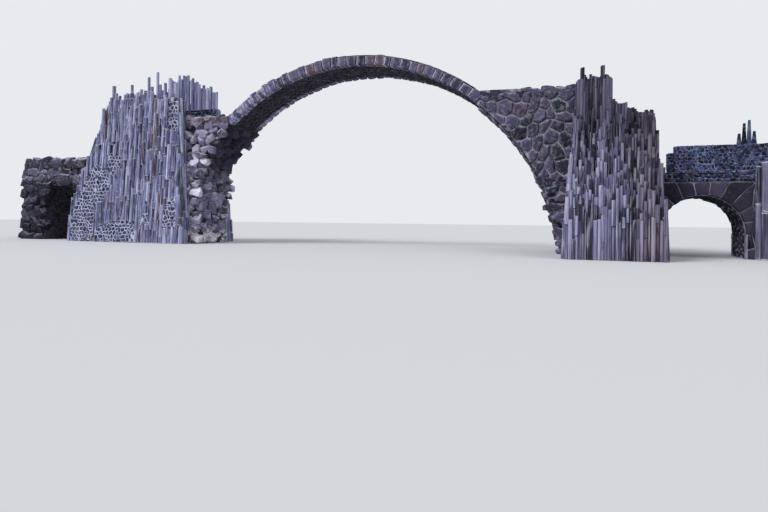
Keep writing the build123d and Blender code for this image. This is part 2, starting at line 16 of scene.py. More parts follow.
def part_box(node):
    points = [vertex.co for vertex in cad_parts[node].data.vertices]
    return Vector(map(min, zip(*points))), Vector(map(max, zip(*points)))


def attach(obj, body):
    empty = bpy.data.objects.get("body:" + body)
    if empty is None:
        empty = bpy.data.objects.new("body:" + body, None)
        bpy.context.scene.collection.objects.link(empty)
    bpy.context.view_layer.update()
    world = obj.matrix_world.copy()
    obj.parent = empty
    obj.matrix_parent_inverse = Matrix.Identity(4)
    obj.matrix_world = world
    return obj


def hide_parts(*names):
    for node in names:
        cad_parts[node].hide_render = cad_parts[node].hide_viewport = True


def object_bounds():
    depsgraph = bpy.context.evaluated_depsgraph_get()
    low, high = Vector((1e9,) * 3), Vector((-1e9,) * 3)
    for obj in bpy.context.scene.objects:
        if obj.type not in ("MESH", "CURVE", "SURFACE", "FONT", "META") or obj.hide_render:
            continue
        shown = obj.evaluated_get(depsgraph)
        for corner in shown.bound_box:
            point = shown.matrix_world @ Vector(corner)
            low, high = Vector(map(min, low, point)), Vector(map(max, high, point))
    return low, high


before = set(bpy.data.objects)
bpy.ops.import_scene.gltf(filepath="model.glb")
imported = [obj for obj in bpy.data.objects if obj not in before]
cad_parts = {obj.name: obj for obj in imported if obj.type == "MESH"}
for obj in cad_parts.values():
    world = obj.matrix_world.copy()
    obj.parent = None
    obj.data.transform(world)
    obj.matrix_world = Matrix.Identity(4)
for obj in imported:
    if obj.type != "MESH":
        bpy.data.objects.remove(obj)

CAD_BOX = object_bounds()
LOG = logging.getLogger("moon_bridge")
Point = tuple[float, float]
Triple = tuple[float, float, float]
Height = Callable[[float], float]

# Sizes shared with the solids, in metres
ARCH_RADIUS = 8.0
ARCH_DROP = 1.0
RING_DEPTH = 0.39
OUTER_RADIUS = ARCH_RADIUS + RING_DEPTH
PAVING = 0.05
HALF_WIDTH = 1.1
BED = 0.045
NOISE_SEED = 7


class Side(Enum):
    """The two long faces of the bridge, by the sign of Y."""

    FRONT = -1
    REAR = 1

    @property
    def label(self) -> str:
        """The face's word in the names of pieces."""
        return self.name.lower()


# Shader graph


class Signal:
    """A shader socket on which Python's operators build Math nodes."""

    def __init__(self, graph: "Graph", socket: bpy.types.NodeSocket) -> None:
        """Wrap one output socket of the graph."""
        self.graph = graph
        self.socket = socket

    def math(self, operation: str, *others: "Signal | float") -> "Signal":
        """One Math node on this value and others."""
        return self.graph.node("ShaderNodeMath", {"operation": operation}, dict(enumerate((self, *others))))

    def __add__(self, other: "Signal | float") -> "Signal":
        """Sum."""
        return self.math("ADD", other)

    def __mul__(self, other: "Signal | float") -> "Signal":
        """Product."""
        return self.math("MULTIPLY", other)

    def __sub__(self, other: "Signal | float") -> "Signal":
        """Difference."""
        return self.math("SUBTRACT", other)

    def __rsub__(self, other: float) -> "Signal":
        """Difference from a number."""
        return self * -1 + other

    __radd__, __rmul__ = __add__, __mul__

    def step(self, low: float, high: float) -> "Signal":
        """A soft step from 0 at one value to 1 at another."""
        settings = {"interpolation_type": "SMOOTHSTEP"}
        return self.graph.node("ShaderNodeMapRange", settings, {0: self, 1: low, 2: high})


class Graph:
    """The node graph of one procedural material."""

    def __init__(self, name: str) -> None:
        """Start an empty material with its output and one Principled shader."""
        self.material = bpy.data.materials.new(name)
        self.material.use_nodes = True
        self.tree = self.material.node_tree
        self.shader = self.tree.nodes["Principled BSDF"]
        self.object_place = self.node("ShaderNodeTexCoord", {}, {}, "Object")

    def node(self, kind: str, settings: dict, inputs: dict, output: int | str = 0) -> Signal:
        """Add one node.

        Args:
            kind: the node's type.
            settings: its properties, set first.
            inputs: values or signals by socket index or name.
            output: which output to hand back.

        Returns:
            The chosen output.
        """
        made = self.tree.nodes.new(kind)
        for key, value in settings.items():
            setattr(made, key, value)
        for key, value in inputs.items():
            self.feed(made.inputs[key], value)
        return Signal(self, made.outputs[output])

    def ramp(self, factor: Signal, colours: tuple[Triple, ...]) -> Signal:
        """Colours at equal steps of a factor.

        Args:
            factor: the factor.
            colours: the colours from 0 to 1.

        Returns:
            The colour.
        """
        ramped = self.node("ShaderNodeValToRGB", {}, {0: factor})
        elements = ramped.socket.node.color_ramp.elements
        while len(elements) < len(colours):
            elements.new(0.5)
        for i, (element, colour) in enumerate(zip(elements, colours)):
            element.position = i / (len(colours) - 1)
            element.color = (*colour, 1)
        return ramped

    def feed(self, socket: bpy.types.NodeSocket, value: Signal | float | tuple) -> None:
        """Link a signal to an input socket, or set a plain value on it."""
        if isinstance(value, Signal):
            self.tree.links.new(value.socket, socket)
        else:
            socket.default_value = (*value, 1) if socket.type == "RGBA" else value

    def attribute(self, name: str) -> Signal:
        """A mesh attribute's value."""
        return self.node("ShaderNodeAttribute", {"attribute_name": name}, {}, "Fac")

    def noise(self, scale: float, detail: float = 4, stretch: Triple = (1, 1, 1), warp: float = 0) -> Signal:
        """Noise over the object, by features to the metre, octaves, stretch of the axes and distortion."""
        place = self.node("ShaderNodeMapping", {}, {"Vector": self.object_place, "Scale": stretch})
        inputs = {"Vector": place, "Scale": scale, "Detail": detail, "Distortion": warp}
        return self.node("ShaderNodeTexNoise", {}, inputs)

    def mix(self, factor: Signal | float, low: Signal | Triple, high: Triple, blend: str = "MIX") -> Signal:
        """Mix two colours by the share of the second one."""
        settings = {"data_type": "RGBA", "blend_type": blend, "clamp_factor": True}
        return self.node("ShaderNodeMix", settings, {0: factor, 6: low, 7: high}, 2)

    def finish(
        self, colour: Signal, roughness: Signal | float, height: Signal, strength: float, depth: float
    ) -> bpy.types.Material:
        """Feed the shader and hand the material back.

        Args:
            colour: the base colour.
            roughness: the roughness.
            height: the bump height.
            strength: the bump strength.
            depth: the bump distance in metres.

        Returns:
            The finished material.
        """
        bump = self.node("ShaderNodeBump", {}, {"Strength": strength, "Distance": depth, "Height": height})
        sockets = self.shader.inputs
        for name, value in {"Base Color": colour, "Roughness": roughness, "Normal": bump}.items():
            self.feed(sockets[name], value)
        sockets["Specular IOR Level"].default_value = 0.25
        return self.material


@dataclass(frozen=True)
class Wash:
    """A tint that comes in along one axis of the bridge, from low to high."""

    axis: str
    low: float
    high: float
    colour: Triple
    amount: float
    blend: str = "MULTIPLY"
    broken: bool = False


@dataclass(frozen=True)
class Basalt:
    """Weathered basalt, as columns or as rubble stones, with painted shade low on each stone and painted highlights."""

    name: str
    tones: tuple[Triple, ...]
    lichen: float = 0.35
    # Colour of lichen and pale streaks, and of the painted highlights on shoulders and upward faces
    lichen_colour: Triple = (0.42, 0.42, 0.5)
    streaked: bool = False
    streak_light: float = 0.5
    # Painted shade: how far each stone darkens towards the joint-shade colour low down, near its bed and joints
    crevice_shade: float = 0.45
    # Painted highlights: on the stones' shoulders, and on faces that look up
    edge_light: float = 0.0
    top_light: float = 0.35
    top_from: float = 0.3
    end_colour: Triple = (0.6, 0.6, 0.68)
    grit_shade: Triple = (0.3, 0.3, 0.3)
    streak_shade: Triple = (0.22, 0.21, 0.25)
    joint_shade: Triple = (0.12, 0.11, 0.14)
    washes: tuple[Wash, ...] = ()

    def build(self) -> bpy.types.Material:
        """Make the procedural material."""
        graph = Graph(self.name)
        tone = graph.attribute("tone")
        stretch = (1, 1, 0.09) if self.streaked else (1, 1, 1)
        mottle = graph.noise(5 if self.streaked else 3.2, 6, stretch, 0.4)
        colour = graph.ramp(tone + (mottle - 0.5) * 0.35, self.tones)
        grit = graph.noise(38, 6)
        colour = graph.mix(grit.step(0.35, 0.75) * 0.35, colour, self.grit_shade, "MULTIPLY")
        if self.streaked:
            streak = graph.noise(26, 3, (1, 1, 0.03))
            colour = graph.mix(streak.step(0.5, 0.38) * 0.6, colour, self.streak_shade, "MULTIPLY")
            colour = graph.mix(streak.step(0.52, 0.66) * self.streak_light, colour, self.lichen_colour)
        patch = graph.noise(9, 8, (1, 1, 0.16) if self.streaked else (1, 1, 1), 0.6)
        colour = graph.mix(patch.step(0.5, 0.68) * self.lichen, colour, self.lichen_colour)
        # Painted shade: each stone darker low down, near its bed and joints, where shade falls
        rise = graph.attribute("rise")
        colour = graph.mix((1 - rise.step(0.0, 0.75)) * self.crevice_shade, colour, self.joint_shade, "MULTIPLY")
        # Painted highlight: a pale band on each stone's shoulder, broken by the lichen patches
        if self.edge_light:
            band = rise.step(0.3, 0.62) * (1 - rise.step(0.72, 0.98)) * self.edge_light
            colour = graph.mix(band * patch.step(0.36, 0.6), colour, self.lichen_colour)
        # Painted highlight: faces that look up are paled, as if lit from above, broken by the lichen patches
        normal = graph.node("ShaderNodeNewGeometry", {}, {}, "Normal")
        up = graph.node("ShaderNodeSeparateXYZ", {}, {0: normal}, "Z")
        lit = up.step(self.top_from, self.top_from + 0.6) * patch.step(0.3, 0.6) * self.top_light
        colour = graph.mix(lit, colour, self.lichen_colour)
        pale_end = (graph.attribute("end") + (grit - 0.5) * 0.9).step(0.45, 0.85)
        colour = graph.mix(pale_end * 0.8, colour, self.end_colour)
        for wash in self.washes:
            along = graph.node("ShaderNodeSeparateXYZ", {}, {0: graph.object_place}, wash.axis)
            mask = (along + (mottle - 0.5) * 0.6).step(wash.low, wash.high) * wash.amount
            if wash.broken:
                mask = mask * patch.step(0.36, 0.6)
            colour = graph.mix(mask, colour, wash.colour, wash.blend)
        relief = grit * 0.5 + patch * 0.5 + graph.noise(14, 6, stretch) * 0.8
        return graph.finish(colour, 0.86 - mottle.step(0.4, 0.7) * 0.12, relief, 0.5, 0.03)


@dataclass(frozen=True)
class Mortar:
    """Lime mortar that shows between the stones."""

    name: str
    pale: Triple
    dark: Triple
    dirt: float = 0.6

    def build(self) -> bpy.types.Material:
        """Make the procedural material."""
        graph = Graph(self.name)
        cloud = graph.noise(2.2, 6, warp=0.5)
        grit = graph.noise(45, 6)
        colour = graph.mix(cloud.step(0.35, 0.68) * self.dirt, self.pale, self.dark)
        colour = graph.mix(grit.step(0.4, 0.7) * 0.45, colour, self.dark)
        return graph.finish(colour, 0.92, grit + cloud, 0.6, 0.02)


# Stones of the bridge, colours as linear light
WET_FOOT = Wash("Z", 0.6, 0.05, (0.7, 0.63, 0.68), 0.75)
PALE_FOOT = Wash("Z", 0.58, 0.35, (0.85, 0.8, 0.85), 0.95, "MIX", True)
# Darker towards the top of the right columns: partly weathering, partly the painted shadow of a tree over them
DARK_HEAD = Wash("Z", 2.4, 4.6, (0.3, 0.28, 0.31), 0.9)
BROWN_SIDE = Wash("X", 9.5, 10.5, (0.7, 0.62, 0.55), 0.8)
# Painted shadow: the pier's inner side darker high up, under the arch
SHADED_HEAD = Wash("Z", 2.0, 3.9, (0.1, 0.09, 0.11), 0.97)
PALE_LEFT = Wash("X", -2.0, -4.4, (2.6, 2.5, 2.5), 1.0)
# Painted shade: the left pier's rocks darker high up, where the key light falls on them; their stone is made pale for
# the lower rocks, which lie in the clusters' cast shadow, as painted light
LIT_HEAD = Wash("Z", 3.3, 4.3, (0.56, 0.54, 0.58), 1.0)
RUSTY_HEAD = Wash("Z", 4.95, 5.35, (0.27, 0.19, 0.17), 0.4, "MIX", True)
# Painted shade: the left wing's rocks darker below its top, round the side arch's dark mouth
DARK_CAVE = Wash("Z", 3.1, 2.5, (0.34, 0.32, 0.37), 0.9)

LEFT_COLUMNS = Basalt(
    "lavender_column_basalt",
    ((0.14, 0.105, 0.115), (0.07, 0.07, 0.135), (0.12, 0.125, 0.25), (0.19, 0.2, 0.37), (0.25, 0.27, 0.48),
     (0.33, 0.35, 0.56), (0.56, 0.58, 0.78)),
    lichen=0.5, lichen_colour=(0.52, 0.54, 0.72), streaked=True, top_light=0.6,
)
COLUMN_ENDS = Basalt(
    "broken_column_ends", ((0.012, 0.018, 0.045), (0.03, 0.04, 0.092), (0.075, 0.09, 0.18)),
    lichen=0.3, crevice_shade=0.3, top_light=0.2,
)
RIGHT_COLUMNS = Basalt(
    "dark_column_basalt",
    ((0.038, 0.031, 0.05), (0.05, 0.049, 0.092), (0.105, 0.102, 0.19), (0.175, 0.17, 0.302), (0.27, 0.26, 0.432),
     (0.46, 0.44, 0.64)),
    lichen=0.42, lichen_colour=(0.5, 0.49, 0.64), streaked=True, streak_light=0.68, top_light=0.25,
    washes=(DARK_HEAD, BROWN_SIDE, WET_FOOT),
)
END_COLUMNS = Basalt(
    "wing_column_basalt", ((0.02, 0.018, 0.032), (0.045, 0.045, 0.08), (0.095, 0.09, 0.15), (0.2, 0.195, 0.3)),
    lichen=0.42, lichen_colour=(0.3, 0.3, 0.44), streaked=True, top_light=0.4,
)
PIER_STONES = Basalt(
    "pale_edged_rubble", ((0.085, 0.079, 0.138), (0.25, 0.236, 0.385), (0.465, 0.435, 0.635), (0.61, 0.58, 0.77)),
    top_light=0.97, top_from=0.08, crevice_shade=0.95, lichen_colour=(0.88, 0.84, 0.95),
    washes=(LIT_HEAD, RUSTY_HEAD, PALE_FOOT),
)
# Painted shade: a darker copy of the left pier's stone, for its inner side under the arch
SHADED_STONES = Basalt(
    "dark_pier_rubble", ((0.066, 0.06, 0.112), (0.186, 0.172, 0.288), (0.374, 0.35, 0.54)),
    lichen=0.25, top_light=0.95, top_from=0.1, crevice_shade=0.9, lichen_colour=(0.68, 0.65, 0.78),
    washes=(SHADED_HEAD, PALE_FOOT),
)
RIGHT_STONES = Basalt(
    "plum_grey_rubble", ((0.013, 0.011, 0.025), (0.035, 0.031, 0.066), (0.087, 0.075, 0.152), (0.066, 0.046, 0.08)),
    lichen=0.25, crevice_shade=0.9, top_light=0.6, edge_light=0.35,
)
# Painted shade: nearly black stones for the soffits, which lie in shade under the arches
SOFFIT_STONES = Basalt(
    "shaded_rubble", ((0.008, 0.007, 0.015), (0.018, 0.016, 0.03), (0.034, 0.03, 0.05)),
    lichen=0.12, crevice_shade=0.7, top_light=0.0,
)
RING = Basalt(
    "ring_basalt",
    ((0.021, 0.019, 0.044), (0.037, 0.035, 0.077), (0.06, 0.056, 0.118), (0.102, 0.096, 0.178), (0.112, 0.072, 0.09)),
    lichen=0.15, lichen_colour=(0.36, 0.35, 0.46), top_light=0.7, edge_light=0.35, crevice_shade=0.8, washes=(PALE_LEFT,),
)
PARAPET_STONES = Basalt(
    "blue_black_rubble", ((0.001, 0.002, 0.011), (0.004, 0.007, 0.027), (0.013, 0.021, 0.068), (0.058, 0.075, 0.176)),
    lichen=0.3, lichen_colour=(0.36, 0.41, 0.6), crevice_shade=0.8, top_light=0.65,
)
WING_BLOCKS = Basalt(
    "side_arch_basalt", ((0.015, 0.012, 0.025), (0.03, 0.025, 0.048), (0.056, 0.046, 0.085)),
    lichen=0.08, lichen_colour=(0.24, 0.23, 0.3), top_light=0.5,
)
BOULDERS = Basalt(
    "boulder_basalt", ((0.011, 0.01, 0.02), (0.032, 0.03, 0.054), (0.086, 0.082, 0.135)),
    lichen=0.3, lichen_colour=(0.42, 0.4, 0.52), top_light=0.95, top_from=0.15, crevice_shade=0.85, washes=(DARK_CAVE,),
)
FLAGS = Basalt(
    "worn_paving", ((0.09, 0.088, 0.11), (0.14, 0.135, 0.165), (0.2, 0.19, 0.22)),
    lichen=0.3, crevice_shade=0.5, top_light=0.15,
)
PALE_MORTAR = Mortar("pale_mortar", (0.44, 0.425, 0.55), (0.06, 0.056, 0.08), 0.65)
JOINT_MORTAR = Mortar("ring_mortar", (0.5, 0.485, 0.6), (0.07, 0.065, 0.09), 0.5)
WHITE_MORTAR = Mortar("white_mortar", (0.56, 0.59, 0.78), (0.15, 0.17, 0.28))
BLUE_MORTAR = Mortar("slate_mortar", (0.26, 0.3, 0.52), (0.01, 0.014, 0.03), 0.85)
CORE_MORTAR = Mortar("core_mortar", (0.16, 0.155, 0.22), (0.03, 0.028, 0.045), 0.75)
# Very dark mortar: dark joints between flags and stones, and painted shade where it shows behind the columns, behind
# the rocks and under the arch
DARK_MORTAR = Mortar("dark_joint_and_shade_mortar", (0.05, 0.046, 0.062), (0.02, 0.018, 0.026))

MADE: dict[str, bpy.types.Material] = {}


def dress(piece: bpy.types.Object, finish: Basalt | Mortar) -> None:
    """Give a piece the material of a finish, made once."""
    if finish.name not in MADE:
        MADE[finish.name] = finish.build()
    piece.data.materials.clear()
    piece.data.materials.append(MADE[finish.name])


# Modelling


def select_only(piece: bpy.types.Object) -> None:
    """Make one object the only selected and active one."""
    bpy.ops.object.select_all(action="DESELECT")
    piece.select_set(True)
    bpy.context.view_layer.objects.active = piece


def add(primitive: Callable, name: str, **settings: object) -> bpy.types.Object:
    """Add one primitive mesh with nothing else selected.

    Args:
        primitive: the operator that adds it.
        name: the piece's name.
        settings: the operator's settings.

    Returns:
        The new piece.
    """
    bpy.ops.object.select_all(action="DESELECT")
    primitive(**settings)
    bpy.context.object.name = name
    return bpy.context.object


@contextmanager
def edit_mode(piece: bpy.types.Object, mode: str = "VERT") -> Iterator[None]:
    """Edit a piece with everything on it selected.

    Args:
        piece: the object to edit.
        mode: VERT, EDGE or FACE.
    """
    select_only(piece)
    bpy.ops.object.mode_set(mode="EDIT")
    bpy.ops.mesh.select_mode(type=mode)
    bpy.ops.mesh.select_all(action="SELECT")
    yield
    bpy.ops.object.mode_set(mode="OBJECT")


def apply_modifier(piece: bpy.types.Object, kind: str, **settings: object) -> None:
    """Add a modifier to a piece and apply it.

    Args:
        piece: the object.
        kind: the modifier's type.
        settings: its properties.
    """
    select_only(piece)
    modifier = piece.modifiers.new(kind.lower(), kind)
    for key, value in settings.items():
        setattr(modifier, key, value)
    bpy.ops.object.modifier_apply(modifier=modifier.name)


def points_of(piece: bpy.types.Object) -> np.ndarray:
    """The vertices of a piece as rows."""
    flat = np.zeros(len(piece.data.vertices) * 3)
    piece.data.vertices.foreach_get("co", flat)
    return flat.reshape(-1, 3)


def move_points(piece: bpy.types.Object, points: np.ndarray) -> None:
    """Put the vertices of a piece at new places."""
    piece.data.vertices.foreach_set("co", points.astype(np.float32).ravel())
    piece.data.update()


def set_attribute(piece: bpy.types.Object, name: str, values: np.ndarray) -> None:
    """Store one number at each vertex of a piece."""
    made = piece.data.attributes.new(name, "FLOAT", "POINT")
    made.data.foreach_set("value", values.astype(np.float32))


def islands(piece: bpy.types.Object) -> np.ndarray:
    """Number the loose parts of a piece.

    Args:
        piece: the object.

    Returns:
        The number of its loose part for each vertex.
    """
    mesh = piece.data
    flat = np.zeros(len(mesh.edges) * 2, int)
    mesh.edges.foreach_get("vertices", flat)
    first, second = flat.reshape(-1, 2).T
    labels = np.arange(len(mesh.vertices))
    while True:
        lowest = np.minimum(labels[first], labels[second])
        before = labels.copy()
        np.minimum.at(labels, first, lowest)
        np.minimum.at(labels, second, lowest)
        labels = labels[labels]
        if np.array_equal(before, labels):
            return np.unique(labels, return_inverse=True)[1]


def limits(labels: np.ndarray, values: np.ndarray) -> tuple[np.ndarray, np.ndarray]:
    """The lowest and the highest value of each loose part.

    Args:
        labels: the loose part of each point.
        values: one value or one row of values for each point.

    Returns:
        The lowest and the highest ones by loose part.
    """
    low = np.full((labels.max() + 1, *values.shape[1:]), np.inf)
    high = -low
    np.minimum.at(low, labels, values)
    np.maximum.at(high, labels, values)
    return low, high


def delete_faces(piece: bpy.types.Object, chosen: np.ndarray) -> None:
    """Delete the chosen faces of a piece, one flag for each face."""
    with edit_mode(piece, "FACE"):
        bpy.ops.mesh.select_all(action="DESELECT")
    piece.data.polygons.foreach_set("select", chosen)
    bpy.ops.object.mode_set(mode="EDIT")
    bpy.ops.mesh.delete(type="FACE")
    bpy.ops.object.mode_set(mode="OBJECT")


def tone_islands(piece: bpy.types.Object, seed: int) -> np.ndarray:
    """Give each loose part of a piece its own tone and return the parts' numbers by vertex."""
    labels = islands(piece)
    set_attribute(piece, "tone", np.random.default_rng(seed).random(labels.max() + 1)[labels])
    return labels


def finish_piece(
    piece: bpy.types.Object, finish: Basalt | Mortar, slot: str, *replaced: str, angle: float = 30
) -> None:
    """Shade a finished piece, give it its finish and set it on the bridge.

    Args:
        piece: the object, in place.
        finish: what it is made of.
        slot: the record's material slot; not used.
        replaced: CAD nodes that it stands for.
        angle: edges sharper than this in degrees stay sharp.
    """
    move_points(piece, np.clip(points_of(piece), np.array(CAD_BOX[0]), np.array(CAD_BOX[1])))
    select_only(piece)
    bpy.ops.object.shade_smooth_by_angle(angle=math.radians(angle))
    dress(piece, finish)
    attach(piece, "root")
    if replaced:
        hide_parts(*replaced)
    LOG.info("%s: %d faces", piece.name, len(piece.data.polygons))


def copy_node(node: str, name: str) -> bpy.types.Object:
    """A merged copy of a CAD node with its flat faces whole.

    Args:
        node: the CAD node.
        name: name of the copy.

    Returns:
        The copy, with its own mesh.
    """
    copy = bpy.data.objects.new(name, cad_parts[node].data.copy())
    bpy.context.collection.objects.link(copy)
    with edit_mode(copy):
        bpy.ops.mesh.remove_doubles(threshold=0.0002)
        bpy.ops.mesh.dissolve_limited(angle_limit=math.radians(0.5))
    if "sharp_face" in copy.data.attributes:
        copy.data.attributes.remove(copy.data.attributes["sharp_face"])
    return copy


def wear(piece: bpy.types.Object, bevel: float, cuts: int) -> None:
    """Round the edges of a piece's stones and cut their faces finer, ready for lumps."""
    with edit_mode(piece, "EDGE"):
        bpy.ops.mesh.bevel(offset=bevel, segments=2, affect="EDGES")
        bpy.ops.mesh.select_all(action="SELECT")
        bpy.ops.mesh.subdivide(number_cuts=cuts)


def roughen(piece: bpy.types.Object, amount: float, size: float, seed: int) -> None:
    """Push the vertices of a piece about by smooth noise.

    Args:
        piece: the object.
        amount: the largest push in metres.
        size: size of the lumps in metres.
        seed: place in the noise.
    """
    noise.seed_set(NOISE_SEED)
    points = points_of(piece)
    shift = Vector((seed * 3.7, seed * 1.3, seed * 2.1))
    pushes = [noise.noise_vector(Vector(p) / size + shift) for p in points]
    move_points(piece, points + np.array(pushes) * amount)


class Pile:
    """Copies of modelled shapes, gathered for one mesh."""

    def __init__(self) -> None:
        """Start with none."""
        self.points: list[np.ndarray] = []
        self.faces: list[list[int]] = []
        self.tones: list[np.ndarray] = []
        self.count = 0

    def add(self, points: np.ndarray, faces: list[list[int]], tone: float) -> None:
        """Add one copy.

        Args:
            points: its points.
            faces: its faces, by the numbers of its own points.
            tone: its tone.
        """
        self.faces += [[self.count + i for i in face] for face in faces]
        self.points.append(points)
        self.tones.append(np.full(len(points), tone))
        self.count += len(points)

    def join(self, name: str, points: np.ndarray) -> bpy.types.Object:
        """Make one mesh of the copies.

        Args:
            name: the piece's name.
            points: the last places of all their points.

        Returns:
            The piece.
        """
        mesh = bpy.data.meshes.new(name)
        mesh.from_pydata(points, [], self.faces)
        piece = bpy.data.objects.new(name, mesh)
        bpy.context.collection.objects.link(piece)
        set_attribute(piece, "tone", np.concatenate(self.tones))
        return piece


def take_shape(model: bpy.types.Object) -> tuple[np.ndarray, list[list[int]]]:
    """The points and the faces of a model, which is taken away."""
    shape = points_of(model), [list(p.vertices) for p in model.data.polygons]
    bpy.data.objects.remove(model)
    return shape


def turned(z: float, x: float) -> np.ndarray:
    """The matrix by which rows of points are turned about X and then about Z."""
    return np.array(Matrix.Rotation(z, 3, "Z") @ Matrix.Rotation(x, 3, "X")).T


# Outlines and surfaces that stones are laid on


def rectangle(left: float, low: float, right: float, high: float) -> list[Point]:
    """The corners of a rectangle."""
    return [(left, low), (right, low), (right, high), (left, high)]


def flip(side: int, points: list[Point]) -> list[Point]:
    """Points by their distance from the bridge's middle, put on one side of it."""
    return [(side * x, z) for x, z in points]


@dataclass
class FlatFace:
    """A flat face with its own across, up and outward directions."""

    origin: Triple
    across: Triple
    up: Triple
    out: Triple

    def place(self, u: np.ndarray, v: np.ndarray, h: np.ndarray) -> np.ndarray:
        """Points at u across, v up and h out of the face."""
        axes = np.array([self.across, self.up, self.out], float)
        axes /= np.linalg.norm(axes, axis=1)[:, None]
        return np.array(self.origin) + np.stack([u, v, h], 1) @ axes

    def handed(self) -> float:
        """1 where u, v and h are right-handed and -1 where they aren't."""
        return float(np.sign(np.linalg.det(np.array([self.across, self.up, self.out], float))))


def long_face(y: float, out: int) -> FlatFace:
    """An upright face along the bridge at a place in Y."""
    return FlatFace((0, y, 0), (1, 0, 0), (0, 0, 1), (0, out, 0))


def level_face(y: float, z: float) -> FlatFace:
    """A level face at a place in Y and a height."""
    return FlatFace((0, y, z), (1, 0, 0), (0, 1, 0), (0, 0, 1))


@dataclass
class ProfileFace:
    """A face swept across the bridge along a profile of (x, z) points: u along it, v is Y."""

    profile: list[Point]
    out_sign: float

    def frames(self, u: np.ndarray) -> tuple[np.ndarray, np.ndarray]:
        """Points and outward normals along the profile.

        Args:
            u: lengths along the profile.

        Returns:
            The points and the normals in X and Z.
        """
        line = np.array(self.profile, float)
        legs = np.diff(line, axis=0)
        lengths = np.linalg.norm(legs, axis=1)
        runs = np.concatenate([[0], np.cumsum(lengths)])
        directions = legs / lengths[:, None]
        corners = np.concatenate([directions[:1], (directions[:-1] + directions[1:]) / 2, directions[-1:]])
        point = np.stack([np.interp(u, runs, line[:, i]) for i in (0, 1)], 1)
        along = np.stack([np.interp(u, runs, corners[:, i]) for i in (0, 1)], 1)
        along /= np.linalg.norm(along, axis=1)[:, None]
        return point, np.stack([along[:, 1], -along[:, 0]], 1) * self.out_sign

    def length(self) -> float:
        """Length of the profile."""
        return float(np.linalg.norm(np.diff(np.array(self.profile), axis=0), axis=1).sum())

    def strip(self, edge: float, start: float = 0) -> list[Point]:
        """The outline of the face, from a length on, as wide as twice its edge's Y."""
        return rectangle(start, -edge, self.length(), edge)

    def place(self, u: np.ndarray, v: np.ndarray, h: np.ndarray) -> np.ndarray:
        """Points at u along the profile, v across the bridge and h out of the face."""
        point, normal = self.frames(u)
        flat = point + normal * h[:, None]
        return np.stack([flat[:, 0], v, flat[:, 1]], 1)

    def handed(self) -> float:
        """1 where u, v and h are right-handed and -1 where they aren't."""
        return self.out_sign


def nearest_on(outline: np.ndarray, points: np.ndarray) -> tuple[np.ndarray, np.ndarray]:
    """The nearest place on a closed outline to each point.

    Args:
        outline: the outline's corners.
        points: the points.

    Returns:
        The distances and the places.
    """
    best = np.full(len(points), np.inf)
    place = points.copy()
    for start, end in zip(outline, np.roll(outline, -1, axis=0)):
        leg = end - start
        share = np.clip((points - start) @ leg / max(leg @ leg, 1e-12), 0, 1)
        candidate = start + share[:, None] * leg
        distance = np.linalg.norm(points - candidate, axis=1)
        closer = distance < best
        best[closer] = distance[closer]
        place[closer] = candidate[closer]
    return best, place


def inside_of(outline: np.ndarray, points: np.ndarray) -> np.ndarray:
    """Which points lie inside a closed outline."""
    inside = np.zeros(len(points), bool)
    for (ax, ay), (bx, by) in zip(outline, np.roll(outline, -1, axis=0)):
        crosses = (ay > points[:, 1]) != (by > points[:, 1])
        reach = (bx - ax) * (points[:, 1] - ay) / (by - ay if by != ay else 1e-12) + ax
        inside ^= crosses & (points[:, 0] < reach)
    return inside


def plate(
    name: str, surface: FlatFace, outline: list[Point] | tuple[Point, ...], depth: float, mortar: Mortar, slot: str
) -> None:
    """A flat plate of mortar.

    Args:
        name: the piece's name.
        surface: the plane of its outer face.
        outline: its corners on that plane.
        depth: how far it goes along Y from there.
        mortar: what it is made of.
        slot: the record's material slot.
    """
    u, v = np.array(outline, float).T
    slab = add(bpy.ops.mesh.primitive_circle_add, name, vertices=len(u), radius=1, fill_type="NGON")
    move_points(slab, surface.place(u, v, np.zeros(len(u))))
    with edit_mode(slab, "FACE"):
        bpy.ops.mesh.extrude_region_move(TRANSFORM_OT_translate={"value": (0, depth, 0)})
    with edit_mode(slab, "FACE"):
        bpy.ops.mesh.normals_make_consistent(inside=False)
    finish_piece(slab, mortar, slot)


